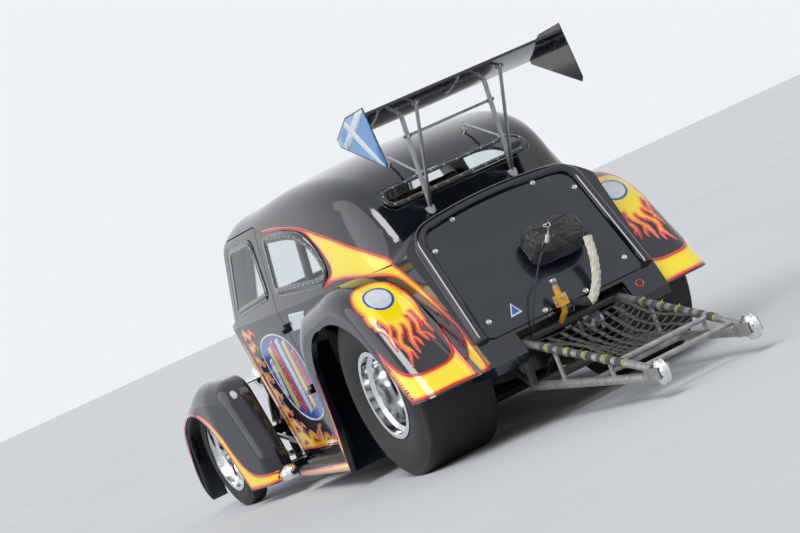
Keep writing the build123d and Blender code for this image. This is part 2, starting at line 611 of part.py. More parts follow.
def build_drive(frame):
    engine = chamfer(block(-200, 200, -2540, -2080, 190, 720).edges(), 12)
    for s in (-2500, -2110):
        engine = engine + block(-RAIL_X, RAIL_X, s - 5, s + 5, 95, 420)
    parts["engine_block"] = engine - frame
    turned = [(0, 0), (0, 165), (66, 128), (120, 112), (640, 86), (680, 60), (680, 0)]
    plane = Plane(origin=(0, at(-2080), CRANK_Z), x_dir=(0, 1, 0), z_dir=(1, 0, 0))
    case = revolve(plane * outline(turned), axis=Axis((0, at(-2080), CRANK_Z), (0, 1, 0)))
    shaft = rod((0, -1420, CRANK_Z), (0, -140, REAR_TYRE_R), 38)
    parts["driveline"] = case + (shaft - case)

    # rear axle: housing tubes either side of a round centre casing
    z = REAR_TYRE_R
    housing = x_disc(-REAR_HUB_X + 0.4, REAR_HUB_X - 0.4, 42, 0, z) + x_disc(-62, 62, 132, 0, z)
    housing = housing + rod((0, -175, z), (0, -60, z), 60)
    for side in (-1, 1):
        housing = housing + block(side * LINK_X - 8, side * LINK_X + 8, -62, 90, 280, 470)
    parts["driveline"] = parts["driveline"] - housing
    parts["rear_axle"] = housing
    x = LINK_X
    lower = rod((x + 23.5, -30, 300), (x + 23.5, REAR_LINK_S, RAIL_Z), 13) + rod((x + 8, -30, 300), (x + 39, -30, 300), 16)
    upper = rod((x + 23.5, -30, 452), (x + 23.5, -343, 290), 13) + rod((x + 8, -30, 452), (x + 39, -30, 452), 16)
    spring = rod((x - 30, 60, 310), (x - 30, 300, RAIL_KICK_Z), 12) + rod((x - 30, 95, 341), (x - 30, 215, 446), 30)
    spring = spring + rod((x - 44.5, 60, 310), (x - 8, 60, 310), 16)
    shapes = [(piece - frame) - housing for piece in (lower, upper, spring)]
    parts["rear_suspension"] = Compound(children=shapes + [mirror(piece, Plane.YZ) for piece in shapes])

    # front axle: a straight tube with a yoke at each end for the kingpins
    s, z = FRONT_AXLE_S, FRONT_TYRE_R
    axle = x_disc(-KINGPIN_X + 42, KINGPIN_X - 42, 28, s, z)
    for side in (-1, 1):
        yoke = block(side * KINGPIN_X - 48, side * KINGPIN_X + 24, s - 24, s + 24, z - 92, z + 92)
        yoke = yoke - block(side * KINGPIN_X - 36, side * KINGPIN_X + 60, s - 60, s + 60, z - 68, z + 68)
        if side < 0:
            yoke = mirror(block(KINGPIN_X - 48, KINGPIN_X + 24, s - 24, s + 24, z - 92, z + 92)
                          - block(KINGPIN_X - 36, KINGPIN_X + 60, s - 60, s + 60, z - 68, z + 68), Plane.YZ)
        pin = rod((side * KINGPIN_X, s, z - 90), (side * KINGPIN_X, s, z + 90), 10)
        axle = axle + yoke + pin
    parts["front_axle"] = axle
    radius_rod = rod((400, s, z), (300, -2150, RAIL_Z), 14)
    spring = rod((350, s, z), (275, -2668, 560), 10) + rod((337, -2620, 343), (296, -2654, 487), 28)
    shapes = [s for piece in (radius_rod, spring) for s in ((piece - frame) - axle).solids() if s.volume > CHIP]
    parts["front_suspension"] = Compound(children=shapes + [mirror(piece, Plane.YZ) for piece in shapes])

    # exhausts: one pipe a side, ending behind the front fender in a round turn-down that opens to the ground
    pipe = tube(EXHAUST_ROUTE, EXHAUST_R, 62)
    parts["exhausts"] = twin(pipe + (dome_form(0) - dome_form(EXHAUST_DOME_WALL)))


# Wheels, knuckles and steering


def tyre(x_mid, width, r, s, shoulder, bead_w):
    """A tyre round its axle, open where the rim sits."""
    h = width / 2
    profile = [(-bead_w, RIM_SEAT_R), (bead_w, RIM_SEAT_R), (bead_w, RIM_FLANGE_R + 3), (h, (r + RIM_SEAT_R) / 2, "arc"),
               (h - shoulder * 0.55, r - shoulder), (h - shoulder * 0.75, r - shoulder * 0.3, "arc"),
               (h - shoulder * 1.4, r), (-h + shoulder * 1.4, r),
               (-h + shoulder * 0.75, r - shoulder * 0.3, "arc"), (-h + shoulder * 0.55, r - shoulder),
               (-h, (r + RIM_SEAT_R) / 2, "arc"), (-bead_w, RIM_FLANGE_R + 3)]
    return revolved(profile, 1, x_mid, s, r)


def rim(x_mid, width, r_axle, s, dish, hub_r, hub_in, spokes):
    """A rim of revolved barrel and flanges, with a centre that has windows between its spokes."""
    h, seat, w = width / 2, RIM_SEAT_R - FIT, RIM_WALL
    barrel = [(-h, RIM_FLANGE_R), (-h, seat - w), (-h + 30, seat - w), (-h + 46, seat - 22), (h - 46, seat - 22),
              (h - 30, seat - w), (h, seat - w), (h, RIM_FLANGE_R), (h - w, RIM_FLANGE_R), (h - w, seat),
              (h - 32, seat), (h - 48, seat - 17), (-h + 48, seat - 17), (-h + 32, seat), (-h + w, seat),
              (-h + w, RIM_FLANGE_R)]
    body = revolved(barrel, 1, x_mid, s, r_axle)
    centre = revolved([(dish, 0), (dish, seat - 19), (dish + 12, seat - 19), (dish + 20, hub_r + 30), (dish + 26, 0)],
                      1, x_mid, s, r_axle)
    hub = revolved([(hub_in, 0), (hub_in, hub_r), (dish + 48, hub_r * 0.8), (dish + 48, 0)], 1, x_mid, s, r_axle)
    for k in range(spokes):
        angle = 360.0 / spokes * k
        window = Pos(x_mid + dish + 12, at(s), r_axle) * Rot(angle, 0, 0) * Pos(0, 0, (hub_r + seat) / 2 + 6) \
            * Rot(0, 90, 0) * SlotOverall(seat - hub_r - 52, 38)
        centre = centre - extrude(window, 60, both=True)
    return body + centre + hub


def build_wheels(frame):
    s, r = FRONT_AXLE_S, FRONT_TYRE_R
    pair("rear_rim", rim(REAR_WHEEL_X, REAR_RIM_W, REAR_TYRE_R, 0, 10.0, 62.0, REAR_HUB_X - REAR_WHEEL_X, 8))
    pair("rear_tyre", tyre(REAR_WHEEL_X, REAR_TYRE_W, REAR_TYRE_R, 0, 24.0, REAR_RIM_W / 2 - RIM_WALL - 1))
    pair("front_rim", rim(FRONT_WHEEL_X, FRONT_RIM_W, r, s, -4.0, 34.0, -34.0, 5))
    pair("front_tyre", tyre(FRONT_WHEEL_X, FRONT_TYRE_W, r, s, 15.0, FRONT_RIM_W / 2 - RIM_WALL - 1))

    # knuckle: a barrel on the kingpin, a spindle into the hub and an arm forward to the tie rod
    z = r
    barrel = rod((KINGPIN_X, s, z - 62), (KINGPIN_X, s, z + 62), 26)
    spindle = x_disc(KINGPIN_X, FRONT_WHEEL_X - 34.3, 20, s, z)
    arm = side_prism([(s, z - 58), (s, z - 40), (s - STEER_ARM - 14, z - 40), (s - STEER_ARM - 14, z - 58)],
                     KINGPIN_X - 13, KINGPIN_X + 13)
    knuckle = barrel + spindle + arm - rod((KINGPIN_X, s, z - 100), (KINGPIN_X, s, z + 100), 10.3)
    pair("knuckle", knuckle)

    # steering rack with its tie rods, sliding in a housing
    rack_s, rack_z = s - STEER_ARM, z - 24
    rods = x_disc(-KINGPIN_X, KINGPIN_X, 11, rack_s, rack_z)
    for side in (-1, 1):
        rods = rods + rod((side * KINGPIN_X, rack_s, rack_z - 15), (side * KINGPIN_X, rack_s, rack_z + 15), 16)
    parts["steering_rack"] = rods
    housing = x_disc(-150, 150, 26, rack_s, rack_z) - x_disc(-160, 160, 11.3, rack_s, rack_z)
    legs = [block(side * 110 - 10, side * 110 + 10, rack_s - 12, -2668, rack_z - 20, rack_z + 20) for side in (-1, 1)]
    legs += [block(side * 110 - 10, side * 110 + 10, -2688, -2648, RAIL_Z, rack_z + 20) for side in (-1, 1)]
    housing = fused([housing] + legs) - x_disc(-160, 160, 11.3, rack_s, rack_z) - frame
    return housing


def build_cockpit(inner_fit, rack_housing):
    x = DRIVER_X
    wheel_at, tilt = (x, -1500.0, 800.0), radians(20)
    along = Vector(0, -cos(tilt), -sin(tilt))
    centre = Vector(x, at(wheel_at[1]), wheel_at[2])
    plane = Plane(origin=centre, x_dir=(1, 0, 0), z_dir=along)
    ring = plane * Torus(150, 13)
    spokes = [plane * Rot(0, 0, 90 * k + 45) * Pos(75, 0, 14) * Box(154, 26, 5) for k in range(4)]
    hub = plane * Cylinder(34, 40, align=(Align.CENTER, Align.CENTER, Align.MIN))
    parts["steering_wheel"] = fused([ring, hub] + spokes)

    dash = block(-640, 640, -1700, -1680, 742, 868) & inner_fit
    shaft = plane * Pos(0, 0, 40.5) * Cylinder(19, 560, align=(Align.CENTER, Align.CENTER, Align.MIN))
    shaft = shaft - block(-700, 700, -3000, COWL_S + SKIN + FIT, 0, 1500)
    parts["dashboard"] = dash + shaft
    parts["steering_gear"] = rack_housing

    profile = [(-1430, SILL_Z + 3.3), (-1010, SILL_Z + 3.3), (-905, 800), (-925, 850, "arc"), (-968, 838), (-1075, 330),
               (-1110, 290, "arc"), (-1180, 285), (-1400, 318), (-1440, 300, "arc"), (-1436, 270)]
    seat = side_prism(profile, x - 138, x + 138)
    parts["seat"] = fillet(seat.faces().sort_by(Axis.X)[-1].edges() + seat.faces().sort_by(Axis.X)[0].edges(), 14)


# Bonnet, grille and lamps

BONNET_FOOT_Z = 590.0
BONNET_SHOULDER_Z = 800.0
END_REACH = 20.0              # how far an inner form is carried past its ends before it is cut away
BONNET_WALL = 5.0
BONNET_SPLIT_Z = 790.0        # top of the fixed sides, where the lid begins
BONNET_GAP = 4.0
LID_FRONT_S = -2830.0
APRON_FOOT_Z = 164.3
APRON = [(-2260, 349, 382), (-2010.4, 466, 499.5)]    # station, half width at the foot and at the top
LAMP_R = 72.0
GRILLE_S = -2846.0


def beyond(end, neighbour, reach):
    """An end row of a station table, carried on past its neighbour's line by reach."""
    share = reach / abs(end[0] - neighbour[0])
    return tuple(e + (e - n) * share for e, n in zip(end, neighbour))


def bonnet_form(inset):
    """The bonnet's outer form from its sides' foot up, or the form of its inside when inset is the wall."""
    rows, drop = list(BONNET_STATIONS), 0
    if inset:
        rows[0] = beyond(BONNET_STATIONS[0], BONNET_STATIONS[1], END_REACH)
        rows[-1] = beyond(BONNET_STATIONS[-1], BONNET_STATIONS[-2], END_REACH)
        drop = 60
    sections = []
    for s, w_foot, w_shoulder, w_top, top_z, r in rows:
        w_foot = w_foot - (w_shoulder - w_foot) * drop / (BONNET_SHOULDER_Z - BONNET_FOOT_Z)
        sections.append(body_section(s, BONNET_FOOT_Z - drop, w_foot - inset, BONNET_SHOULDER_Z, w_shoulder - inset,
                                     w_top - inset, top_z - inset, r - inset, 16))
    return loft(sections)


def apron_form(inset):
    """The low part of the bonnet's sides, ahead of the cab, inside which the exhausts run down."""
    front, rear = APRON
    low = APRON_FOOT_Z
    if inset:
        front, rear = beyond(front, rear, END_REACH), beyond(rear, front, END_REACH)
        low = APRON_FOOT_Z - 50
    faces = []
    for s, foot, top in (front, rear):
        foot, top, high = foot - inset, top - inset, BONNET_FOOT_Z + 2
        shape = Polyline((-foot, low), (foot, low), (top, high), (-top, high), close=True)
        faces.append(cross_plane(at(s)) * make_face(shape))
    return loft(faces, ruled=True)


def build_nose(frame):
    # the lid lifts from its rear edge; the sides below it are fixed
    outer, inner = bonnet_form(0), bonnet_form(BONNET_WALL)
    lid = outer - block(-700, 700, -2900, -1900, 0, BONNET_SPLIT_Z + BONNET_GAP)
    lid = lid - block(-700, 700, -2900, LID_FRONT_S, 0, 1200)
    for side in (-1, 1):
        x = side * BONNET_HINGE_X
        lid = lid + block(x - 10, x + 10, BONNET_AXIS_S - 60, BONNET_AXIS_S + 7, 880, BONNET_AXIS_Z + 7)
    lid = lid - inner - block(-700, 700, BONNET_AXIS_S - 3, -1900, 0, BONNET_AXIS_Z - 7)
    parts["bonnet"] = lid - rod((-500, BONNET_AXIS_S, BONNET_AXIS_Z), (500, BONNET_AXIS_S, BONNET_AXIS_Z),
                                BONNET_PIN_R + 0.3)
    left = block(0, 700, -2900, COWL_S - FIT, APRON_FOOT_Z, BONNET_SPLIT_Z)
    side = ((outer - inner) & left) + ((apron_form(0) - apron_form(BONNET_WALL)) & left)
    pair("side_panel", side)

    half, top, foot = 152.0, 852.0, 340.0
    shield = [(-half, 800), (-half + 40, 846, "arc"), (0, top + 10), (half - 40, 846, "arc"), (half, 800), (half, 520),
              (100, 362, "arc"), (0, foot), (-100, 362, "arc"), (-half, 520)]
    plane = cross_plane(at(GRILLE_S))
    rim_solid = extrude(plane * outline(shield), 44)
    opening = extrude(plane * Pos(0, 0, -5) * outline(shield, grow=-20), 60)
    bars = []
    inside = extrude(plane * outline(shield, grow=-20 + FIT / 2), 44)
    for k in range(-5, 6):
        bars.append(block(k * 22 - 4, k * 22 + 4, GRILLE_S - 36, GRILLE_S - 6, 0, 1200) & inside)
    cross = block(-200, 200, GRILLE_S - 16, GRILLE_S - 8, 596, 606) & inside
    parts["grille_shell"] = fused([rim_solid - opening, cross] + bars) - frame

    lamp_x, lamp_s, lamp_z = 248.0, -2745.0, 590.0
    bowl = Pos(lamp_x, at(lamp_s), lamp_z) * Sphere(LAMP_R)
    bowl = bowl - block(0, 500, lamp_s - 100, lamp_s - 22, 400, 800)
    stalk = rod((lamp_x, -2668, 560), (lamp_x, lamp_s + 20, lamp_z), 9)
    parts["headlamps"] = twin((bowl + stalk) - frame)
    sill = plan_prism([(540, -1690), (642, -1690), (716, -720), (540, -720)], 78, 132)
    long_edges = [e for e in sill.edges() if e.length > 800 and e.center().X > 600]
    sill = fillet(long_edges, 24)
    parts["sills"] = twin(sill + block(500, 590, -1660, -760, 132, SILL_Z - 0.2))


# Tail: wing, parachute and wheelie bars


def build_tail(frame):
    tail = slope_plane(TAIL_FOOT, TAIL_TOP)
    # wheelie bars: an upper and a lower tube a side, joined across
    pieces = []
    for side in (-1, 1):
        x = side * WHEELIE_X
        pieces.append(rod((side * 250, 560, 372), (x, 1545, 128), 16))
        pieces.append(rod((side * 250, 519, 176), (x, 1545, 92), 19))
        pieces.append(rod((side * 243, 830, 305), (side * 243, 812, 151), 9))
        pieces.append(rod((side * 230, 1240, 203), (side * 230, 1225, 119), 9))
        fork = block(x - 30, x + 30, 1520, 1652, WHEELIE_Z - 26, WHEELIE_Z + 26)
        fork = fork - block(x - 24, x + 24, 1540, 1700, 0, 300)
        pieces.append(fork - side_prism([(1625, 0), (1700, 0), (1700, 300), (1625, 300)], -300, 300))
        pieces.append(x_disc(x - 30, x + 30, 8, WHEELIE_REACH, WHEELIE_Z))
    pieces.append(rod((-226, 1300, 189), (226, 1300, 189), 11))
    pieces.append(rod((-220, 1480, 143), (220, 1480, 143), 11))
    pieces.append(rod((-236, 1000, 135), (236, 1000, 135), 11))
    parts["wheelie_bars"] = fused(pieces) - frame
    wheel = revolved([(-20, 9), (-20, 44), (-14, WHEELIE_WHEEL_R), (14, WHEELIE_WHEEL_R), (20, 44), (20, 9)], 1,
                     WHEELIE_X, WHEELIE_REACH, WHEELIE_Z)
    pair("wheelie_wheel", wheel)
    net_low, net_high = (1284.0, 196.0), (640.0, 351.0)
    net = slope_plane(net_low, net_high)
    run = hypot(net_low[0] - net_high[0], net_low[1] - net_high[1])
    sheet = extrude(net * outline([(-210.6, 0), (210.6, 0), (222.6, run), (-222.6, run)]), 3)
    parts["wheelie_net"] = sheet

    # wing, end plates and struts
    foil = [(238, 1456), (252, 1472, "arc"), (300, 1476), (470, 1484, "arc"), (640, 1512), (640, 1500),
            (440, 1462, "arc"), (260, 1450)]
    parts["wing"] = side_prism(foil, -WING_SPAN / 2 + PLATE_T, WING_SPAN / 2 - PLATE_T)
    plate = [(642, 1537), (642, 1285), (622, 1268), (250, 1436), (250, 1474), (430, 1537)]
    parts["wing_end_plates"] = twin(side_prism(plate, WING_SPAN / 2 - PLATE_T + 0.2, WING_SPAN / 2 + 0.2))
    return tail


def build_wing_struts(cab_skin):
    struts = []
    for side in (-1, 1):
        x = side * STRUT_X
        struts.append(rod((x, 196, 1000), (x, 345, 1520), 11))
        struts.append(rod((x, 196, 1030), (x, 560, 1520), 8))
        struts.append(rod((x, 196, 1000), (x, 196, 1052), 24))
        struts.append(rod((x, 250, 1200), (x * 0.94, -40, 1330), 6))
        struts.append(rod((x * 0.94, -40, 1270), (x * 0.94, -40, 1336), 12))
    cross = rod((-STRUT_X, 300, 1365), (STRUT_X, 300, 1365), 6)
    shape = fused(struts + [cross]) - parts["wing"] - cab_skin
    pieces = [p for p in shape.solids() if p.volume > 30000 and p.bounding_box().max.Z > 1100]
    parts["wing_struts"] = Compound(children=pieces) if len(pieces) > 1 else pieces[0]


def build_parachute(tail, frame):
    v = {z: slope_v(TAIL_FOOT, TAIL_TOP, z) for z in (612, 748)}
    x0, x1 = -47.0, 240.0     # the tail plane's own x runs towards the car's right
    bag = outline([(x0, v[612]), (x1, v[612]), (x1, v[748]), (x0, v[748])], corner=45)
    bag = extrude(Plane(origin=tail.origin + tail.z_dir * 8.3, x_dir=tail.x_dir, z_dir=tail.z_dir) * bag, 150)
    parts["parachute_pack"] = fillet(bag.faces().sort_by(Axis(tail.origin, tail.z_dir))[-1].edges(), 30)
    x = CHUTE_MOUNT_X
    mount = tube([(x, 560, 372), (x, 655, 415), (x, 660, 500)], 13, 24)
    clevis = block(x - 22, x + 22, 636, 684, 440, 490)
    upper = rod((x, 660, 480), (x, 662, 560), 15)
    parts["parachute_mount"] = fused([mount, clevis, upper]) - frame
    strap = tube([(-200, 648, 661), (-184, 660, 572), (-158, 662, 495), (-115, 664, 425), (-60, 664, 398),
                  (x - 28.6, 662, 449)], 14, 45)
    parts["parachute_strap"] = strap
    cable = tube([(-85, 656, 727), (3, 669, 699), (52, 677, 668), (108, 668, 592), (184, 655, 462), (200, 638, 402),
                  (200, 581.8, 372.4)], 4, 25)
    parts["release_cable"] = cable


def build_all():
    outer, inner, skin_out = build_cab()
    build_fenders(skin_out)
    inner_fit = cab_form(SKIN + FIT)
    frame = build_chassis(inner_fit)
    tunnel_hole = block(-TUNNEL_X, TUNNEL_X, COWL_S - 10, COWL_S + 60, 0, TUNNEL_Z)
    shell = parts["cab_shell"] - tunnel_hole
    build_drive(frame)
    rack_housing = build_wheels(frame)
    build_cockpit(inner_fit, rack_housing)
    build_nose(frame)
    tail = build_tail(frame)
    parts["cab_shell"] = shell
    build_wing_struts(skin_out)
    build_parachute(tail, frame)


if __name__ == "__main__":
    build_all()
    os.makedirs("parts", exist_ok=True)
    for name, shape in parts.items():
        export_step(shape, "parts/" + name + ".step")
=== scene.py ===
"""Full-bodied drag racing car with a tail wing, parachute and wheelie bars, built round its CAD frame."""
import math

import bmesh
import bpy
from mathutils import Matrix, Vector, noise
from mathutils.bvhtree import BVHTree
from mathutils.geometry import delaunay_2d_cdt
from mathutils.kdtree import KDTree


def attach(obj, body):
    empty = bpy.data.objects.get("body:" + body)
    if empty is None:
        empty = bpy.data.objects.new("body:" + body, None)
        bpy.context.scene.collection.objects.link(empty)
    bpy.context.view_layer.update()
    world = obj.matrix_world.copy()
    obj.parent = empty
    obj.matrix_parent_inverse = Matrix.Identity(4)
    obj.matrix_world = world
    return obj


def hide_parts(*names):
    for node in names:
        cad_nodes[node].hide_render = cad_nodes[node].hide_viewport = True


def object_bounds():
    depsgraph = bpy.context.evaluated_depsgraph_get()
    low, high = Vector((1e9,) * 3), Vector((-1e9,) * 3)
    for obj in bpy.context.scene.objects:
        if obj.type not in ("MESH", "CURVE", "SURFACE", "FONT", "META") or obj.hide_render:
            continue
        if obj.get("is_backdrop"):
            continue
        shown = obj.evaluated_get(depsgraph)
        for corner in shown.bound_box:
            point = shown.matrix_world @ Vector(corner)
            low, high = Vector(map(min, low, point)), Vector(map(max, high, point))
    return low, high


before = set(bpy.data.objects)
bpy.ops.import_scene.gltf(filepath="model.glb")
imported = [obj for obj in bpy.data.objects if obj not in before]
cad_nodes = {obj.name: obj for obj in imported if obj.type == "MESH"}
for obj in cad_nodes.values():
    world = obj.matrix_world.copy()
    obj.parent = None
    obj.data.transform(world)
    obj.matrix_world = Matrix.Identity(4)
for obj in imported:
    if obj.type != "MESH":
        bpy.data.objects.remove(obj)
cad_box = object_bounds()

# Camera: a long lens at the height of the windows, behind the car's left rear corner and
# rolled so that the track tilts up to the right.
CAMERA_AT = (4.4619, 10.9054, 1.0459)
REAR_AXLE_Y = 0.744                      # stations along the car are measured from the rear axle
LENS_TURN, LENS_RISE, LENS_ROLL = 0.382361, 0.016616, -0.426378
backward = Vector((math.sin(LENS_TURN) * math.cos(LENS_RISE), math.cos(LENS_TURN) * math.cos(LENS_RISE),
                   math.sin(LENS_RISE)))
level = Vector((0, 0, 1)).cross(backward).normalized()
upright = backward.cross(level)
rightward = math.cos(LENS_ROLL) * level + math.sin(LENS_ROLL) * upright
upward = -math.sin(LENS_ROLL) * level + math.cos(LENS_ROLL) * upright


def placed(name, data):
    """A new object in the scene."""
    made = bpy.data.objects.new(name, data)
    bpy.context.scene.collection.objects.link(made)
    return made


lens = bpy.data.cameras.new("track_side_camera")
lens.sensor_width = 36.0
lens.lens = 112.285
lens.clip_end = 200.0
camera = placed("track_side_camera", lens)
camera.matrix_world = Matrix.Translation(CAMERA_AT) @ Matrix(
    (rightward, upward, backward)).transposed().to_4x4()
bpy.context.scene.camera = camera


def at(x, s, z):
    """A point from its place across the car, its station and its height, all in millimetres."""
    return Vector((x / 1000, s / 1000 + REAR_AXLE_Y, z / 1000))


ACROSS, ALONG, UP = Vector((1, 0, 0)), Vector((0, 1, 0)), Vector((0, 0, 1))


def node(tree, kind, fed):
    """A new shader node, each input given as a value or as the output that feeds it."""
    made = tree.nodes.new("ShaderNode" + kind)
    for entry, value in fed.items():
        if isinstance(value, bpy.types.NodeSocket):
            tree.links.new(value, made.inputs[entry])
        else:
            made.inputs[entry].default_value = value
    return made


def finish(name, colour, roughness, metallic=0.0, coat=0.0, second=None, patch=5.0, share=0.5, grain=400.0,
           depth=0.0001, spread=0.06, further=()):
    """A finish whose colour drifts to a second one in patches, with its own fine grain and uneven gloss."""
    material = bpy.data.materials.new(name)
    material.use_nodes = True
    tree = material.node_tree
    shader = tree.nodes["Principled BSDF"]
    for entry, value in (("Metallic", metallic), ("Coat Weight", coat), ("Coat Roughness", 0.03), *further):
        shader.inputs[entry].default_value = value
    place = node(tree, "TexCoord", {}).outputs["Object"]
    clouds = node(tree, "TexNoise", {"Vector": place, "Scale": patch, "Detail": 6.0, "Roughness": 0.62}).outputs["Fac"]
    tint = node(tree, "ValToRGB", {"Fac": clouds})
    ends = ((max(share - 0.2, 0.0), colour), (min(share + 0.2, 1.0), second or [c * 0.8 for c in colour]))
    for element, (position, shade) in zip(tint.color_ramp.elements, ends):
        element.position, element.color = position, (*shade, 1)
    gloss = node(tree, "MapRange", {"Value": clouds, "To Min": max(roughness - spread, 0.02),
                                    "To Max": min(roughness + spread, 1.0)})
    fine = node(tree, "TexNoise", {"Vector": place, "Scale": grain, "Detail": 3.0})
    bump = node(tree, "Bump", {"Height": fine.outputs["Fac"], "Distance": depth, "Strength": 0.6})
    for output, entry in ((tint.outputs["Color"], "Base Color"), (gloss.outputs["Result"], "Roughness"),
                          (bump.outputs["Normal"], "Normal")):
        tree.links.new(output, shader.inputs[entry])
    return material


def wear(material, names):
    """Gives CAD nodes their finish."""
    for name in names:
        slots = cad_nodes[name].data.materials
        slots.clear()
        slots.append(material)


def mesh_of(name, shape):
    """The mesh of a bmesh, with its faces turned outwards."""
    bmesh.ops.recalc_face_normals(shape, faces=shape.faces[:])
    mesh = bpy.data.meshes.new(name)
    shape.to_mesh(mesh)
    shape.free()
    return mesh


def piece(name, shape, material, slot, body="chassis", smooth=True):
    """A bmesh or a mesh made into a finished piece that rides on a body."""
    mesh = mesh_of(name, shape) if isinstance(shape, bmesh.types.BMesh) else shape
    if smooth:
        for face in mesh.polygons:
            face.use_smooth = True
    mesh.materials.append(material)
    made = placed(name, mesh)
    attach(made, body)
    return made


# Parachute bridle and pull cable: a flat off-white sleeve drawn over nylon webbing, from the pack's
# side down to the clevis, and a thin black release cable that hangs from the pack's pin to the frame.
SLEEVE_ROUTE = [(-200, 648, 661), (-184, 660, 572), (-158, 662, 495), (-115, 664, 425), (-60, 664, 398),
                (11.4, 662, 449)]
CABLE_ROUTE = [(-85, 656, 727), (3, 669, 699), (52, 677, 668), (108, 668, 592), (184, 655, 462), (200, 638, 402),
               (200, 581.8, 372.4)]


def route_curve(name, route, radius):
    """A smooth round cord with the route's points as the control points of its spline."""
    curve = bpy.data.curves.new(name, "CURVE")
    curve.dimensions = "3D"
    curve.bevel_depth = radius
    curve.bevel_resolution = 5
    curve.resolution_u = 16
    curve.use_fill_caps = True
    spline = curve.splines.new("NURBS")
    spline.points.add(len(route) - 1)
    for point, place in zip(spline.points, route):
        point.co = (*at(*place), 1)
    spline.order_u = 3
    spline.use_endpoint_u = True
    return curve


def evaluated(thing):
    """An object as its modifiers leave it."""
    return thing.evaluated_get(bpy.context.evaluated_depsgraph_get())


def line_of(curve):
    """The points of a curve's own line."""
    bare = curve.copy()
    bare.bevel_depth = 0
    carrier = placed("line", bare)
    mesh = bpy.data.meshes.new_from_object(evaluated(carrier))
    points = [v.co.copy() for v in mesh.vertices]
    bpy.data.objects.remove(carrier)
    bpy.data.curves.remove(bare)
    bpy.data.meshes.remove(mesh)
    return points


def run_of(points):
    """The length of a line of points."""
    return sum((b - a).length for a, b in zip(points, points[1:]))


cable_curve = route_curve("release_cable_wire", CABLE_ROUTE, 0.004)
cable_wire = placed("release_cable_wire", cable_curve)
cable_curve.materials.append(finish("cable_jacket", (0.015, 0.015, 0.017), 0.42, grain=900.0, depth=0.0002))
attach(cable_wire, "chassis")
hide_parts("release_cable")
at(*CABLE_ROUTE[0])
run_of(line_of(cable_curve))

# The sleeve puckers where it is drawn up, so its width and folds come from a tube mesh that follows
# the same spline. Its last stretch is bare webbing, narrower than the sleeve.
SLEEVE_W, SLEEVE_T, SLEEVE_SIDES = 0.0200, 0.0105, 40
BARE_FROM, BARE_SHARE = 0.80, 0.72
sleeve_line = line_of(route_curve("sleeve_line", SLEEVE_ROUTE, 0.014))
sleeve = bmesh.new()
steps = []
for a, b in zip(sleeve_line, sleeve_line[1:]):
    for k in range(3):
        steps.append(a.lerp(b, k / 3))
steps.append(sleeve_line[-1])
rings, travel = [], 0.0
for i, centre in enumerate(steps):
    ahead, behind = steps[min(i + 1, len(steps) - 1)], steps[max(i - 1, 0)]
    along = (ahead - behind).normalized()
    travel += (centre - behind).length
    across = along.cross(Vector((0, 1, 0.2))).normalized()
    thick = across.cross(along).normalized()
    ring = []
    for k in range(SLEEVE_SIDES):
        turn = 2 * math.pi * k / SLEEVE_SIDES
        pucker = (1.0 + 0.06 * math.sin(5 * turn + 2.0 * math.sin(travel * 60))
                  + 0.05 * math.sin(travel * 210 + 2 * turn))
        fold = pucker + 0.12 * math.sin(9 * turn + travel * 90)
        ring.append(sleeve.verts.new(centre + across * SLEEVE_W * math.cos(turn) * pucker
                                     + thick * SLEEVE_T * math.sin(turn) * fold))
    rings.append(ring)
for one, two in zip(rings, rings[1:]):
    for k in range(SLEEVE_SIDES):
        sleeve.faces.new((one[k], one[(k + 1) % SLEEVE_SIDES], two[(k + 1) % SLEEVE_SIDES], two[k]))
sleeve.faces.new(rings[0])
sleeve.faces.new(rings[-1])
bare_from = int(BARE_FROM * (len(rings) - 1)) * SLEEVE_SIDES
sleeve.verts.index_update()
for face in sleeve.faces:
    face.material_index = 1 if max(v.index for v in face.verts) > bare_from else 0
for v in sleeve.verts:
    if v.index > bare_from + 2 * SLEEVE_SIDES:
        middle = steps[min(v.index // SLEEVE_SIDES, len(steps) - 1)]
        v.co = middle + (v.co - middle) * BARE_SHARE
sleeve_cloth = finish("sleeve_cloth", (0.74, 0.69, 0.58), 0.85, second=(0.52, 0.47, 0.38), patch=28.0, share=0.58,
                      grain=1500.0, depth=0.0006)
bridle = piece("bridle_sleeve", sleeve, sleeve_cloth, "sleeve")
bridle.data.materials.append(finish("bridle_webbing", (0.016, 0.016, 0.017), 0.75, second=(0.045, 0.043, 0.04),
                                    patch=60.0, grain=1400.0, depth=0.0005))
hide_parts("parachute_strap")
at(*SLEEVE_ROUTE[0])
run_of(sleeve_line)
[tuple(p) for p in steps]

# Bodywork: steel and moulded panels in deep gloss black under clear lacquer, with the haze of dust
# and fine polishing marks that a raced car carries.
black_gloss = finish("black_gloss", (0.004, 0.006, 0.010), 0.10, coat=0.55, second=(0.007, 0.011, 0.017), patch=3.0,
                     share=0.6, grain=60.0, depth=0.00012, spread=0.045)
wear(black_gloss, ["cab_shell", "boot_moulding", "door_left", "door_right", "rear_fender_left", "rear_fender_right",
                   "front_fender_left", "front_fender_right", "grille_shell", "wing", "wing_end_plates"])
boot_black = finish("boot_lid_black", (0.005, 0.009, 0.015), 0.2, coat=0.5, second=(0.010, 0.018, 0.028), patch=9.0,
                    share=0.5, grain=300.0, depth=0.0002, spread=0.09)
wear(boot_black, ["boot_panel"])

# Flame paint: yellow flames that darken to orange at their edges, masked and sprayed over the black,
# with a hand-drawn red line round them all. Each colour is a thin film that lies on its panel.
FILM_LIFT, FILM_UNDER = 0.0007, 0.0005


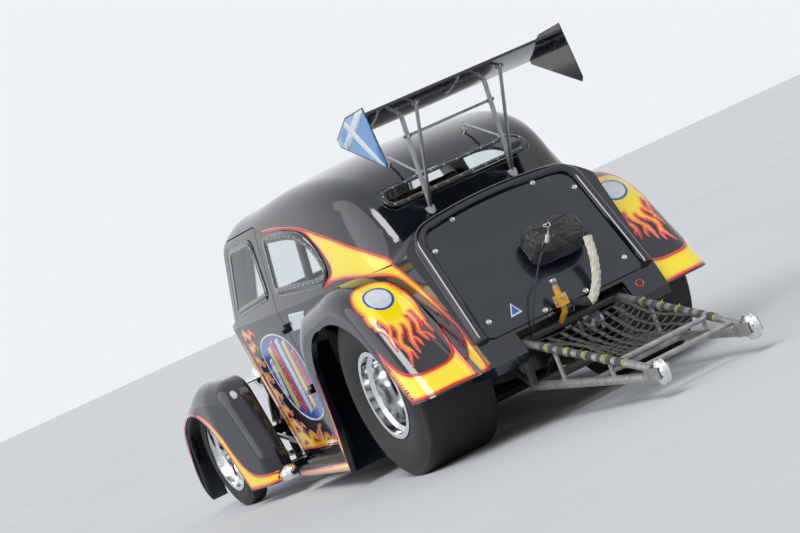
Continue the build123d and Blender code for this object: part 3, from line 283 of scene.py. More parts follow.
def skin_of(*names):
    """The joined surface of CAD nodes, for paint and trim to lie on."""
    corners, faces = [], []
    for name in names:
        mesh = cad_nodes[name].data
        start = len(corners)
        corners += [v.co.copy() for v in mesh.vertices]
        faces += [[start + i for i in p.vertices] for p in mesh.polygons]
    return BVHTree.FromPolygons(corners, faces)


def from_left(skin, least=0.3):
    """Lays a (station, height) point on the car's left side, no nearer its middle than least."""
    def lay(s, z):
        spot, normal, _, _ = skin.ray_cast(at(1200, s, z), -ACROSS)
        return (spot, normal) if spot and spot.x > least and normal.x > 0.05 else None
    return lay


def lengthways(skin, start, way):
    """Lays an (x, height) point on the end of the car that a ray meets from the start station."""
    def lay(x, z):
        spot, normal, _, _ = skin.ray_cast(at(x, start, z), way)
        return (spot, normal) if spot and normal.dot(way) < -0.05 else None
    return lay


def round_wheel(skin):
    """Lays a point given by its place across the car and ten times its angle from upright over the rear axle."""
    def lay(x, turn):
        way = Vector((0, math.sin(math.radians(turn / 10)), math.cos(math.radians(turn / 10))))
        spot, normal, _, reach = skin.ray_cast(at(x, -100, 300) + way * 1.2, -way)
        return (spot, normal) if spot and reach < 0.95 and normal.dot(way) > 0.05 else None
    return lay


def curve_through(points, step=5.0):
    """Points about a step apart on a smooth line through the given ones."""
    ends = [points[0]] + points + [points[-1]]
    line = []
    for p0, p1, p2, p3 in zip(ends, ends[1:], ends[2:], ends[3:]):
        count = max(1, round((p2 - p1).length / step))
        for k in range(count):
            t = k / count
            line.append(0.5 * (2 * p1 + (p2 - p0) * t + (2 * p0 - 5 * p1 + 4 * p2 - p3) * t * t
                               + (3 * p1 - p0 - 3 * p2 + p3) * t ** 3))
    return line + [points[-1]]


def outline_of(points, step=5.0):
    """A closed outline, smooth but for the points whose third number marks a corner."""
    flat = [Vector(p[:2]) for p in points]
    corners = [i for i, p in enumerate(points) if len(p) > 2]
    if not corners:
        turned = flat[-2:] + flat + flat[:2]
        line = curve_through(turned, step)
        first = min(range(len(line)), key=lambda i: (line[i] - flat[0]).length)
        last = max(i for i in range(len(line)) if (line[i] - flat[0]).length < step * 0.6 or i == first)
        return line[first:last] if last > first else line
    flat = flat[corners[0]:] + flat[:corners[0]]
    marks = [c - corners[0] for c in corners] + [len(flat)]
    flat.append(flat[0])
    line = []
    for a, b in zip(marks, marks[1:]):
        line += curve_through(flat[a:b + 1], step)[:-1]
    return line


def lick(spine, widths, step=5.0):
    """A flame's tongue along a spine, its widths given from root to tip."""
    line = curve_through([Vector(p) for p in spine], step)
    left, right = [], []
    for i, p in enumerate(line):
        along = (line[min(i + 1, len(line) - 1)] - line[max(i - 1, 0)]).normalized()
        t = i / (len(line) - 1) * (len(widths) - 1)
        k = min(int(t), len(widths) - 2)
        half = (widths[k] + (widths[k + 1] - widths[k]) * (t - k)) / 2
        left.append(p + Vector((-along.y, along.x)) * half)
        right.append(p - Vector((-along.y, along.x)) * half)
    return left[:-1] + [line[-1]] + right[-2::-1]


def turn_of(loop):
    """Twice a closed outline's area, negative where it runs clockwise."""
    return sum(a.x * b.y - b.x * a.y for a, b in zip(loop, loop[1:] + loop[:1]))


def divided(loop, parts):
    """A closed outline with even points set between its corners."""
    return [a.lerp(b, k / parts) for a, b in zip(loop, loop[1:] + loop[:1]) for k in range(parts)]


def joined_fill(loops, gap):
    """Corners and triangles that fill several overlapping outlines as one shape."""
    corners, faces = [], []
    for loop in loops:
        faces.append(list(range(len(corners), len(corners) + len(loop))))
        corners += loop if turn_of(loop) > 0 else loop[::-1]
    left, right = min(c.x for c in corners), max(c.x for c in corners)
    low, high = min(c.y for c in corners), max(c.y for c in corners)
    v, row = low, 0
    while v < high:
        u = left + (gap / 2 if row % 2 else 0)
        while u < right:
            corners.append(Vector((u, v)))
            u += gap
        v += gap * 0.87                  # the height of an even-sided triangle
        row += 1
    spots, _, triangles, _, _, owners = delaunay_2d_cdt(corners, [], faces, 0, 0.01, True)
    return spots, [t for t, o in zip(triangles, owners) if o]


def film_on(loops, lay, gap=8.0, lift=FILM_LIFT):
    """A closed thin film that fills the outlines, and its edge loops as (place, normal) points."""
    spots, triangles = joined_fill(loops, gap)
    laid = {}
    for i in {i for t in triangles for i in t}:
        laid[i] = lay(*spots[i])
    triangles = [t for t in triangles if all(laid[i] for i in t)]
    uses = {}
    for t in triangles:
        for a, b in zip(t, (*t[1:], t[0])):
            uses[(a, b)] = uses.get((a, b), 0) + 1
    rim = {a: b for (a, b) in uses if (b, a) not in uses}
    shape = bmesh.new()
    fade = shape.verts.layers.float.new("from_edge")
    used = sorted({i for t in triangles for i in t})
    rim_spots = [laid[i][0] for i in rim]
    tree = KDTree(len(rim_spots))
    for k, spot in enumerate(rim_spots):
        tree.insert(spot, k)
    tree.balance()
    top, under = {}, {}
    for i in used:
        spot, normal = laid[i]
        top[i] = shape.verts.new(spot + normal * lift)
        top[i][fade] = tree.find(spot)[2] * 1000
        under[i] = shape.verts.new(spot - normal * FILM_UNDER)
        under[i][fade] = top[i][fade]
    for t in triangles:
        shape.faces.new([top[i] for i in t])
        shape.faces.new([under[i] for i in reversed(t)])
    for a, b in rim.items():
        shape.faces.new((top[b], top[a], under[a], under[b]))
    loops_out, left = [], dict(rim)
    while left:
        start, following = left.popitem()
        loop = [laid[start]]
        while following != start and following in left:
            loop.append(laid[following])
            following = left.pop(following)
        if len(loop) > 5:                # shorter ones are slivers
            loops_out.append(loop)
    return shape, loops_out


def line_on(loops, skin, width, lift=FILM_LIFT + 0.0003):
    """A painted line of that width in metres along edge loops, laid on the skin."""
    shape = bmesh.new()
    for loop in loops:
        n = len(loop)
        rows = []
        for i, (spot, normal) in enumerate(loop):
            along = (loop[(i + 1) % n][0] - loop[i - 1][0]).normalized()
            side = normal.cross(along).normalized() * width / 2
            row = []
            for way in (1, -1):
                place, facing, _, _ = skin.find_nearest(spot + side * way)
                if facing.dot(normal) < 0.3:
                    place, facing = spot + side * way, normal
                row += [shape.verts.new(place + facing * lift), shape.verts.new(place - facing * FILM_UNDER)]
            rows.append(row)
        for i, a in enumerate(rows):
            b = rows[(i + 1) % n]
            shape.faces.new((a[0], b[0], b[2], a[2]))
            shape.faces.new((a[1], a[3], b[3], b[1]))
            shape.faces.new((a[0], a[1], b[1], b[0]))
            shape.faces.new((a[2], b[2], b[3], a[3]))
    return shape


CHASSIS_PAIR = ("chassis", "chassis")


def both_sides(name, shape, material, bodies=CHASSIS_PAIR, slot="black_paint"):
    """A left-hand piece and its mirror image on the right."""
    left = mesh_of(name + "_left", shape)
    right = left.copy()
    right.name = name + "_right"
    right.transform(Matrix.Scale(-1, 4, (1, 0, 0)))
    right.flip_normals()
    return [piece(name + "_left", left, material, slot, bodies[0]),
            piece(name + "_right", right, material, slot, bodies[1])]


def sprayed(name, colour, second, patch=5.0):
    """A gloss colour sprayed over the black, under the same lacquer."""
    return finish(name, colour, 0.14, coat=1.0, second=second, patch=patch, grain=60.0, depth=0.0002, spread=0.04)


flame_yellow = finish("flame_yellow", (1.0, 0.76, 0.0), 0.13, coat=1.0, grain=60.0, depth=0.0002, spread=0.04)
FLAME_FADE = 28.0                        # millimetres in from a flame's edge to its full yellow
GLOW = [(0.0, (0.80, 0.045, 0.004, 1)), (0.2, (0.92, 0.16, 0.004, 1)), (0.42, (1.0, 0.50, 0.002, 1)),
        (0.62, (1.0, 0.70, 0.0, 1)), (1.0, (1.0, 0.77, 0.0, 1))]
tree = flame_yellow.node_tree
edge = node(tree, "Attribute", {})
edge.attribute_name = "from_edge"
reach = node(tree, "MapRange", {"Value": edge.outputs["Fac"], "From Max": FLAME_FADE})
glow = node(tree, "ValToRGB", {"Fac": reach.outputs["Result"]})
for element, (_, shade) in zip(glow.color_ramp.elements, (GLOW[0], GLOW[-1])):
    element.color = shade
for position, shade in GLOW[1:-1]:
    glow.color_ramp.elements.new(position).color = shade
tree.links.new(glow.outputs["Color"], tree.nodes["Principled BSDF"].inputs["Base Color"])
line_red = sprayed("line_red", (0.78, 0.012, 0.006), (0.62, 0.008, 0.006))


def painted(name, loops, lay, skin, gap, line_width, bodies=CHASSIS_PAIR):
    """A flame on both sides of the car, filled from its outlines, and the red line round it."""
    shape, edges = film_on(loops, lay, gap)
    both_sides(name, shape, flame_yellow, bodies)
    both_sides(name + "_line", line_on(edges, skin, line_width), line_red, bodies)


SWOOSH = [(-1035, 1268, 1), (-900, 1264), (-780, 1252), (-673, 1236), (-553, 1215), (-441, 1186), (-325, 1146),
          (-186, 1093), (-62, 1038), (52, 991), (129, 954), (194, 922), (250, 886), (300, 836), (345, 790),
          (386, 745), (425, 698), (466, 646), (504, 590), (540, 532), (568, 474), (590, 420), (608, 375),
          (620, 338, 1), (560, 330), (520, 352), (490, 405, 1), (522, 440), (541, 485), (535, 530), (512, 562),
          (446, 634), (375, 705), (304, 773), (268, 806), (225, 836), (180, 853), (72, 875), (-56, 899),
          (-169, 916), (-253, 922), (-339, 922), (-424, 905, 1), (-356, 934), (-306, 950), (-283, 968),
          (-283, 1001), (-310, 1039), (-344, 1082), (-390, 1124), (-453, 1174), (-560, 1210), (-690, 1233),
          (-850, 1252)]
cab_skin = skin_of("cab_shell")
painted("side_flame", [outline_of(SWOOSH, 6.0)], from_left(cab_skin), cab_skin, gap=12.0, line_width=0.011)

# the crown of each rear fender: a round flame head with tongues that hang down its back
FENDER_HEAD = [(520, 270), (560, 226), (610, 208), (660, 210), (695, 235), (716, 280), (722, 330), (718, 385),
               (708, 425), (690, 450), (655, 470), (620, 485), (580, 486), (545, 470), (515, 440), (500, 395),
               (503, 330)]
FENDER_TONGUES = [
    ([(712, 380), (716, 430), (707, 490)], [22, 16, 0]),
    ([(700, 420), (708, 470), (694, 505), (692, 565)], [26, 20, 15, 0]),
    ([(680, 440), (668, 500), (690, 560), (700, 630)], [28, 22, 17, 0]),
    ([(688, 545), (676, 590), (680, 632)], [12, 10, 0]),
    ([(655, 455), (640, 530), (668, 600), (664, 660), (690, 735)], [32, 26, 25, 17, 0]),
    ([(668, 610), (650, 660), (648, 712)], [15, 13, 0]),
    ([(630, 465), (622, 520), (640, 582)], [26, 20, 0]),
    ([(610, 465), (596, 540), (618, 610), (622, 692)], [30, 24, 21, 0]),
    ([(612, 588), (594, 620), (590, 664)], [15, 13, 0]),
    ([(585, 465), (580, 520), (592, 572)], [24, 18, 0]),
    ([(560, 455), (552, 530), (566, 590), (553, 655)], [28, 22, 18, 0]),
    ([(562, 592), (538, 620), (528, 660)], [13, 11, 0]),
    ([(536, 445), (526, 510), (538, 572)], [22, 17, 0]),
    ([(517, 420), (512, 500), (520, 560), (510, 622)], [22, 18, 14, 0]),
    ([(506, 380), (503, 450), (510, 505), (506, 556)], [18, 14, 11, 0])]
FENDER_BAND = [(752, 560, 1), (757, 678), (757, 750), (757, 815), (756, 862, 1), (718, 868), (655, 870),
               (586, 870), (530, 872), (484, 872, 1), (486, 790), (486, 700), (482, 600, 1), (487, 660),
               (495, 720), (514, 757), (560, 777), (640, 780), (690, 774), (722, 752), (738, 715), (746, 660)]
fender_skin = skin_of("rear_fender_left")
over_fender = round_wheel(fender_skin)
painted("fender_flame", [outline_of(FENDER_HEAD)] + [lick(*t) for t in FENDER_TONGUES], over_fender, fender_skin,
        gap=6.0, line_width=0.006)
painted("fender_band", [outline_of(FENDER_BAND)], over_fender, fender_skin, gap=9.0, line_width=0.012)

# Front fender paint: a thin red line round the wheel opening that opens, down the fender's tail,
# into a yellow band with red edges.
FRONT_BAND = [(-2575, 553, 1), (-2500, 542), (-2420, 512), (-2350, 460), (-2296, 386), (-2262, 304), (-2212, 222),
              (-2127, 162), (-1957, 142, 1), (-1957, 98, 1), (-2103, 97), (-2187, 98), (-2234, 102, 1),
              (-2258, 165), (-2285, 235), (-2321, 332), (-2365, 402), (-2430, 476), (-2500, 520), (-2560, 547)]
FRONT_LINE = [(-3133, 74), (-3006, 284), (-2880, 494), (-2812, 532), (-2730, 560), (-2650, 567), (-2570, 552)]
front_skin = skin_of("front_fender_left")
front_side = from_left(front_skin)
painted("front_band", [outline_of(FRONT_BAND)], front_side, front_skin, gap=9.0, line_width=0.010)
opening_line = film_on([lick(FRONT_LINE, [9, 9])], front_side, 9.0)[0]
both_sides("front_opening_line", opening_line, line_red)

# Rear wheel opening: a yellow stripe with red edges that climbs the opening's front edge from the sill
# and thins out over the tyre. The sill carries an orange stripe that widens towards it.
ARCH_STRIPE = [(-684, 84, 1), (-676, 156), (-600, 290), (-560, 428), (-524, 560), (-474, 664), (-404, 726),
               (-300, 764), (-190, 780, 1), (-190, 772, 1), (-300, 752), (-384, 720), (-448, 688), (-523, 562),
               (-580, 293), (-657, 86, 1)]
painted("arch_stripe", [outline_of(ARCH_STRIPE)], from_left(fender_skin), fender_skin, gap=8.0, line_width=0.008)
SILL_STRIPE = [(-1680, 110, 1), (-1300, 118), (-735, 128, 1), (-735, 88, 1), (-1300, 90), (-1680, 94, 1)]
sill_black = finish("sill_black", (0.008, 0.008, 0.009), 0.35, coat=0.3, second=(0.05, 0.045, 0.04), patch=14.0,
                    share=0.62, grain=220.0, depth=0.0004, spread=0.12)
wear(sill_black, ["sills"])
sill_skin = skin_of("sills")
painted("sill_stripe", [outline_of(SILL_STRIPE)], from_left(sill_skin), sill_skin, gap=12.0, line_width=0.007)

# Door and cowl paint: orange flames that start on the cowl and lick back over the front and foot of
# the door, round a plain fan of white, yellow and red bars on a blue field.
DOOR_FRONT = [(-1926, 192, 1), (-1880, 196), (-1860, 300), (-1878, 420), (-1862, 540), (-1880, 660), (-1868, 760),
              (-1884, 846), (-1900, 860, 1), (-1926, 620)]
DOOR_LICKS = [
    ([(-1890, 820), (-1840, 852), (-1780, 826), (-1720, 850), (-1650, 818)], [46, 44, 34, 20, 0]),
    ([(-1880, 770), (-1820, 766), (-1770, 784), (-1716, 748)], [52, 42, 26, 0]),
    ([(-1885, 690), (-1835, 694), (-1790, 668), (-1752, 686)], [56, 40, 24, 0]),
    ([(-1880, 600), (-1830, 604), (-1795, 574), (-1760, 590)], [56, 38, 22, 0]),
    ([(-1885, 505), (-1835, 512), (-1798, 482), (-1764, 500)], [56, 38, 22, 0]),
    ([(-1880, 410), (-1830, 418), (-1790, 384), (-1750, 402)], [60, 40, 24, 0]),
    ([(-1885, 325), (-1820, 338), (-1768, 300), (-1716, 322), (-1672, 296)], [66, 50, 36, 24, 0]),
    ([(-1900, 240), (-1800, 262), (-1715, 222), (-1640, 262), (-1565, 240), (-1500, 276)], [84, 66, 56, 46, 30, 0]),
    ([(-1900, 200), (-1700, 206), (-1500, 202), (-1395, 240), (-1330, 214), (-1268, 250)], [26, 34, 40, 44, 30, 0]),
    ([(-1560, 205), (-1500, 226), (-1450, 288), (-1392, 300)], [30, 34, 26, 0]),
    ([(-1440, 205), (-1350, 208), (-1270, 206), (-1205, 232)], [24, 30, 24, 0])]
COWL_FLAME = [(-2014, 186, 1), (-1944, 186, 1), (-1944, 560), (-1948, 850, 1), (-1972, 806), (-1990, 700),
              (-2006, 560), (-2014, 420)]
ART_FIELD = [(-1724, 700), (-1640, 772), (-1480, 800), (-1320, 788), (-1190, 730), (-1140, 620), (-1150, 480),
             (-1220, 372), (-1360, 330), (-1520, 344), (-1650, 410), (-1722, 540)]
ART_BARS = [(-1655, 470, 690, 56), (-1572, 400, 752, 60), (-1484, 372, 778, 64), (-1394, 366, 778, 64),
            (-1304, 384, 760, 60), (-1222, 440, 706, 52)]
door_skin = skin_of("door_left")
door_side = from_left(door_skin)
door_pair = ("door_left", "door_right")
painted("door_flame", [outline_of(DOOR_FRONT)] + [lick(*t) for t in DOOR_LICKS], door_side, door_skin,
        gap=9.0, line_width=0.007, bodies=door_pair)
painted("cowl_flame", [outline_of(COWL_FLAME)], from_left(cab_skin), cab_skin, gap=9.0, line_width=0.007)
art_blue = sprayed("art_blue", (0.010, 0.055, 0.34), (0.012, 0.10, 0.50), 12.0)
art_white = sprayed("art_white", (0.74, 0.76, 0.78), (0.52, 0.60, 0.70), 16.0)
art_yellow = sprayed("art_yellow", (0.86, 0.52, 0.02), (0.90, 0.66, 0.06), 16.0)
field, field_edges = film_on([outline_of(ART_FIELD)], door_side, 14.0, FILM_LIFT + 0.0004)
both_sides("door_field", field, art_blue, door_pair)
both_sides("door_field_line", line_on(field_edges, door_skin, 0.012, FILM_LIFT + 0.0007), art_white, door_pair)
BAR_SLANT, BAR_CUT = 26, 14              # how far a bar leans, and how much its ends are cut aslant
for number, (s, low, high, width) in enumerate(ART_BARS):
    corners = [Vector((s - width / 2 - BAR_SLANT, low)), Vector((s + width / 2 - BAR_SLANT, low + BAR_CUT)),
               Vector((s + width / 2 + BAR_SLANT, high)), Vector((s - width / 2 + BAR_SLANT, high - BAR_CUT))]
    shape = film_on([divided(corners, 12)], door_side, 14.0, FILM_LIFT + 0.0009)[0]
    both_sides("door_bar_%d" % number, shape, (art_white, art_yellow, line_red)[number % 3], door_pair)

# Stickers: bare vinyl, white on the body's side behind the door and white with a blue ring on each
# rear fender's flame head, with a blue triangle edged in white low on the tail.
STICKER = [(-1050, 778, 1), (-990, 862, 1), (-762, 852, 1), (-850, 770, 1)]
label = film_on([outline_of(STICKER)], from_left(cab_skin), 14.0, FILM_LIFT + 0.0004)[0]
both_sides("side_sticker", label, art_white)


def oval(x, y, half_x, half_y, count=72):
    """An ellipse's outline."""
    return [Vector((x + half_x * math.cos(2 * math.pi * k / count), y + half_y * math.sin(2 * math.pi * k / count)))
            for k in range(count)]


RING_AT, RING_HALF = (616, 335), (66, 76)
for name, share, paint, lift in (("fender_sticker_ring", 1.0, art_blue, 0.0012),
                                 ("fender_sticker", 0.84, art_white, 0.0016)):
    shape = film_on([oval(*RING_AT, *(half * share for half in RING_HALF))], over_fender, 7.0, lift)[0]
    both_sides(name, shape, paint)


tail_skin = skin_of("boot_panel", "boot_moulding", "cab_shell")
on_tail = lengthways(tail_skin, 2500, -ALONG)
TRIANGLE_AT, TRIANGLE = (224, 507), [(-30, -20), (30, -24), (-4, 34)]
for name, grow, paint, lift in (("tail_triangle_edge", 1.0, art_white, 0.0008),
                                ("tail_triangle", 0.66, art_blue, 0.0012)):
    corners = [Vector((TRIANGLE_AT[0] + grow * x, TRIANGLE_AT[1] + grow * z)) for x, z in TRIANGLE]
    piece(name, film_on([divided(corners, 8)], on_tail, 7.0, lift)[0], paint, "black_paint")

# Windows: clear polycarbonate sheets behind the openings, with a painted black border and a row of
# small bright rivets round each.
clear_sheet = finish("clear_sheet", (0.90, 0.93, 0.94), 0.04, second=(0.84, 0.88, 0.90), patch=4.0, grain=40.0,
                     depth=0.00005, spread=0.02, further=(("Transmission Weight", 1.0), ("IOR", 1.2)))
wear(clear_sheet, ["windscreen", "door_glass_left", "door_glass_right", "quarter_windows", "rear_window"])
border_black = finish("border_black", (0.006, 0.006, 0.007), 0.16, coat=0.6, second=(0.014, 0.014, 0.016), grain=120.0,
                      depth=0.0001)
bright_steel = finish("bright_steel", (0.62, 0.63, 0.64), 0.24, metallic=1.0, second=(0.42, 0.42, 0.43), patch=60.0,
                      grain=900.0, depth=0.0001)
DOOR_LIGHT = [(-1760, 951), (-1500, 962), (-1240, 973), (-1206, 986), (-1196, 1012), (-1210, 1110), (-1228, 1215),
              (-1246, 1244), (-1280, 1256), (-1440, 1256), (-1600, 1256), (-1634, 1244), (-1656, 1215),
              (-1725, 1090), (-1778, 994), (-1785, 966)]
QUARTER_LIGHT = [(-1010, 966), (-800, 953), (-600, 941), (-450, 932), (-370, 938), (-332, 968), (-348, 1030),
                 (-400, 1100), (-470, 1150), (-560, 1190), (-640, 1210), (-726, 1222), (-860, 1233), (-990, 1243),
                 (-1022, 1234), (-1034, 1205), (-1045, 1100), (-1050, 1010), (-1040, 978)]
HALF_LIGHT = [(0, 1106), (200, 1106), (325, 1108), (362, 1128), (372, 1154), (360, 1182), (325, 1200), (200, 1202),
              (0, 1202)]
REAR_LIGHT = HALF_LIGHT + [(-x, z) for x, z in HALF_LIGHT[-2:0:-1]]
FRONT_LIGHT = [(-448, 958, 1), (448, 958, 1), (400, 1296, 1), (-400, 1296, 1)]


def drawn_in(loop, by):
    """A closed outline drawn in by a distance."""
    by = by if turn_of(loop) > 0 else -by
    inner = []
    for before, point, after in zip(loop[-1:] + loop[:-1], loop, loop[1:] + loop[:1]):
        along = (after - before).normalized()
        inner.append(point + Vector((-along.y, along.x)) * by)
    return inner


def spaced(loop, gap):
    """Points of a closed outline about a gap apart."""
    chosen, left = [], 0.0
    for a, b in zip(loop, loop[1:] + loop[:1]):
        if left <= 0:
            chosen.append(a)
            left += gap
        left -= (b - a).length
    return chosen


def turned_on(shape, spot, normal, profile, sides=18):
    """Adds a turned part whose axis is the normal at the spot, its profile in (radius, height) metres."""
    normal = normal.normalized()
    across = normal.orthogonal().normalized()
    other = normal.cross(across)
    turned = []
    for r, h in profile:
        if profile[0] == (r, h) and turned:
            turned.append(turned[0])
        elif r == 0:
            turned.append([shape.verts.new(spot + normal * h)])
        else:
            turned.append([shape.verts.new(spot + normal * h + (across * math.cos(2 * math.pi * k / sides)
                           + other * math.sin(2 * math.pi * k / sides)) * r) for k in range(sides)])
    for a, b in zip(turned, turned[1:]):
        for k in range(sides):
            n = (k + 1) % sides
            if len(a) == 1:
                shape.faces.new((a[0], b[n], b[k]))
            elif len(b) == 1:
                shape.faces.new((a[k], a[n], b[0]))
            else:
                shape.faces.new((a[k], a[n], b[n], b[k]))


def turned_part(spot, normal, profile, sides):
    """A turned part on its own."""
    shape = bmesh.new()
    turned_on(shape, spot, normal, profile, sides)
    return shape


def held_on(lay, places, profile, sides, lift=0.0):
    """Turned heads that stand on the skin at the places laid on it."""
    heads = bmesh.new()
    for place in places:
        found = lay(*place)
        if found:
            turned_on(heads, found[0] + found[1] * lift, found[1], profile, sides)
    return heads


TRIM_LIFT = 0.0004
RIVET = [(0, -0.0006), (0.0045, -0.0006), (0.0043, 0.0011), (0.0031, 0.0022), (0, 0.0027)]


def window_trim(name, light, lay, skin, border, rivet_gap, bodies=None):
    """The black border and the rivets of a window, on both sides of the car where two bodies are given."""
    middle = drawn_in(outline_of(light, 6.0), border / 2)
    laid = [spot for spot in (lay(*p) for p in middle) if spot]
    edging = line_on([laid], skin, border / 1000, TRIM_LIFT)
    heads = held_on(lay, spaced(middle, rivet_gap), RIVET, 10, TRIM_LIFT)
    for part, shape, material, slot in (("_border", edging, border_black, "clear"),
                                        ("_rivets", heads, bright_steel, "polished")):
        if bodies:
            both_sides(name + part, shape, material, bodies, slot)
        else:
            piece(name + part, shape, material, slot)


quarter_skin, door_pane, rear_pane = skin_of("quarter_windows"), skin_of("door_glass_left"), skin_of("rear_window")
screen_skin = skin_of("windscreen")
window_trim("quarter", QUARTER_LIGHT, from_left(quarter_skin), quarter_skin, border=34, rivet_gap=62,
            bodies=CHASSIS_PAIR)
window_trim("door_pane", DOOR_LIGHT, from_left(door_pane), door_pane, border=26, rivet_gap=90, bodies=door_pair)
window_trim("rear_pane", REAR_LIGHT, lengthways(rear_pane, 2500, -ALONG), rear_pane, border=22, rivet_gap=66)
window_trim("screen", FRONT_LIGHT, lengthways(screen_skin, -4000, ALONG), screen_skin, border=30, rivet_gap=90)

# Boot: the lid is held by flat quarter-turn fasteners of bright steel, and a red pull ring for the
# battery switch hangs low on the right of the tail.
FASTENER = [(0, -0.001), (0.0125, -0.001), (0.0125, 0.0012), (0.0112, 0.0022), (0.0082, 0.0022), (0.0076, 0.0013),
            (0.0030, 0.0013), (0.0026, 0.0019), (0, 0.0019)]
BOOT_FASTENERS = [(105, 452), (350, 508), (362, 867), (209, 959)]
boot_heads = held_on(on_tail, [(side * x, z) for x, z in BOOT_FASTENERS for side in (-1, 1)], FASTENER, 24)
piece("boot_fasteners", boot_heads, bright_steel, "polished")


def hoop(shape, centre, axis, radius, wire, sides=28, round_sides=8):
    """Adds a round ring of wire."""
    section = [(radius + wire * math.cos(2 * math.pi * k / round_sides), wire * math.sin(2 * math.pi * k / round_sides))
               for k in range(round_sides)]
    turned_on(shape, centre, axis, section + section[:1], sides)


def bar(shape, a, b, radius, sides=14):
    """Adds a round bar between two points."""
    length = (b - a).length
    turned_on(shape, a, b - a, [(0, 0), (radius * 0.86, 0), (radius, radius * 0.14), (radius, length - radius * 0.14),
                                (radius * 0.86, length), (0, length)], sides)


handle = bmesh.new()
PULL_AT = (-338, 392)
found = on_tail(*PULL_AT)
hoop(handle, found[0] + found[1] * 0.006 + Vector((0, 0, -0.012)), found[1], 0.017, 0.0028)
turned_on(handle, found[0] + Vector((0.004, 0, -0.036)), found[1],
          [(0, -0.001), (0.012, -0.001), (0.012, 0.010), (0.009, 0.014), (0, 0.014)])
piece("switch_pull", handle, line_red, "plastic")

# Wing: a black foil on bare aluminium struts with rod ends, two thin yellow dashes under its leading
# half, and black end plates whose outer faces carry a white saltire on blue.
STRUT_X = 214
PLATE = [(642, 1537), (642, 1285), (622, 1268), (250, 1436), (250, 1474), (430, 1537)]
PLATE_X = 498.2                          # outer face of the left end plate
SALTIRE, SALTIRE_W = [((250, 1400), (690, 1560)), ((352, 1570), (640, 1230))], 40
strut_metal = finish("strut_metal", (0.48, 0.49, 0.50), 0.34, metallic=1.0, second=(0.30, 0.30, 0.31), patch=26.0,
                     share=0.55, grain=500.0, depth=0.0002, spread=0.10)
wear(strut_metal, ["wing_struts"])


def plate_face(s, z):
    """A point on the outer face of the left end plate."""
    return at(PLATE_X, s, z), ACROSS


def kept_inside(loop, fence):
    """The part of a polygon that lies inside a convex outline."""
    fence = fence if turn_of(fence) > 0 else fence[::-1]
    for a, b in zip(fence, fence[1:] + fence[:1]):
        side = [(b - a).x * (p - a).y - (b - a).y * (p - a).x for p in loop]
        cut = []
        for p, q, u, v in zip(loop, loop[1:] + loop[:1], side, side[1:] + side[:1]):
            if u >= 0:
                cut.append(p)
            if u * v < 0:
                cut.append(p.lerp(q, u / (u - v)))
        loop = cut
    return loop


plate_field = drawn_in([Vector(p) for p in PLATE], 7.0)
blue = film_on([plate_field], plate_face, 60.0, 0.0004)[0]
saltire_blue = sprayed("saltire_blue", (0.006, 0.17, 0.52), (0.02, 0.30, 0.66), 9.0)
both_sides("plate_blue", blue, saltire_blue)
for number, line in enumerate(SALTIRE):
    a, b = Vector(line[0]), Vector(line[1])
    aside = Vector((-(b - a).y, (b - a).x)).normalized() * SALTIRE_W / 2
    band = kept_inside([a + aside, b + aside, b - aside, a - aside], plate_field)
    shape = film_on([band], plate_face, 60.0, 0.0008 + 0.0001 * number)[0]
    both_sides("plate_white_%d" % number, shape, art_white)


def from_below(skin):
    """Lays an (x, station) point on an underside."""
    def lay(x, s):
        spot, normal, _, _ = skin.ray_cast(at(x, s, 1200), UP)
        return (spot, normal) if spot else None
    return lay


under_wing = from_below(skin_of("wing"))
for name, x0, x1 in (("wing_dash_end", 385, 462), ("wing_dash_middle", 75, 240)):
    dash = [Vector(p) for p in ((x0, 330), (x1, 330), (x1, 339), (x0, 339))]
    both_sides(name, film_on([dash], under_wing, 9.0, 0.0005)[0], art_yellow)

HEX_NUT = [(0, 0), (0.0085, 0), (0.0095, 0.001), (0.0095, 0.006), (0.0085, 0.007), (0.0048, 0.007), (0.0042, 0.011),
           (0, 0.011)]
STRUT_JOINTS = [(196, 1036), (336, 1470), (524, 1474), (250, 1200), (298, 1365)]
ends = bmesh.new()
for side in (-1, 1):
    x = side * STRUT_X
    for s, z in STRUT_JOINTS:
        for way in (-1, 1):
            turned_on(ends, at(x + way * 10, s, z), Vector((way, 0, 0)), HEX_NUT, 6)
        hoop(ends, at(x, s, z), ACROSS, 0.0115, 0.0045, 24, 8)
piece("strut_rod_ends", ends, bright_steel, "polished", smooth=False)

# Wheels: polished aluminium rims with open steel lug nuts and a turned centre cap, in plain black
# slicks whose sidewalls and treads are dusty from the track.
rubber = finish("slick_rubber", (0.011, 0.011, 0.011), 0.68, second=(0.036, 0.034, 0.031), patch=7.0, share=0.60,
                grain=260.0, depth=0.0008, spread=0.16)
wear(rubber, ["rear_tyre_left", "rear_tyre_right", "front_tyre_left", "front_tyre_right"])
polish = finish("rim_polish", (0.83, 0.84, 0.85), 0.13, metallic=1.0, second=(0.66, 0.66, 0.67), patch=16.0, share=0.6,
                grain=120.0, depth=0.0001, spread=0.07)
wear(polish, ["rear_rim_left", "rear_rim_right", "front_rim_left", "front_rim_right"])
CAP = [(0.0, 0.0), (1.0, 0.0), (1.0, 0.006), (0.9, 0.009), (0.62, 0.009), (0.55, 0.012), (0.0, 0.013)]
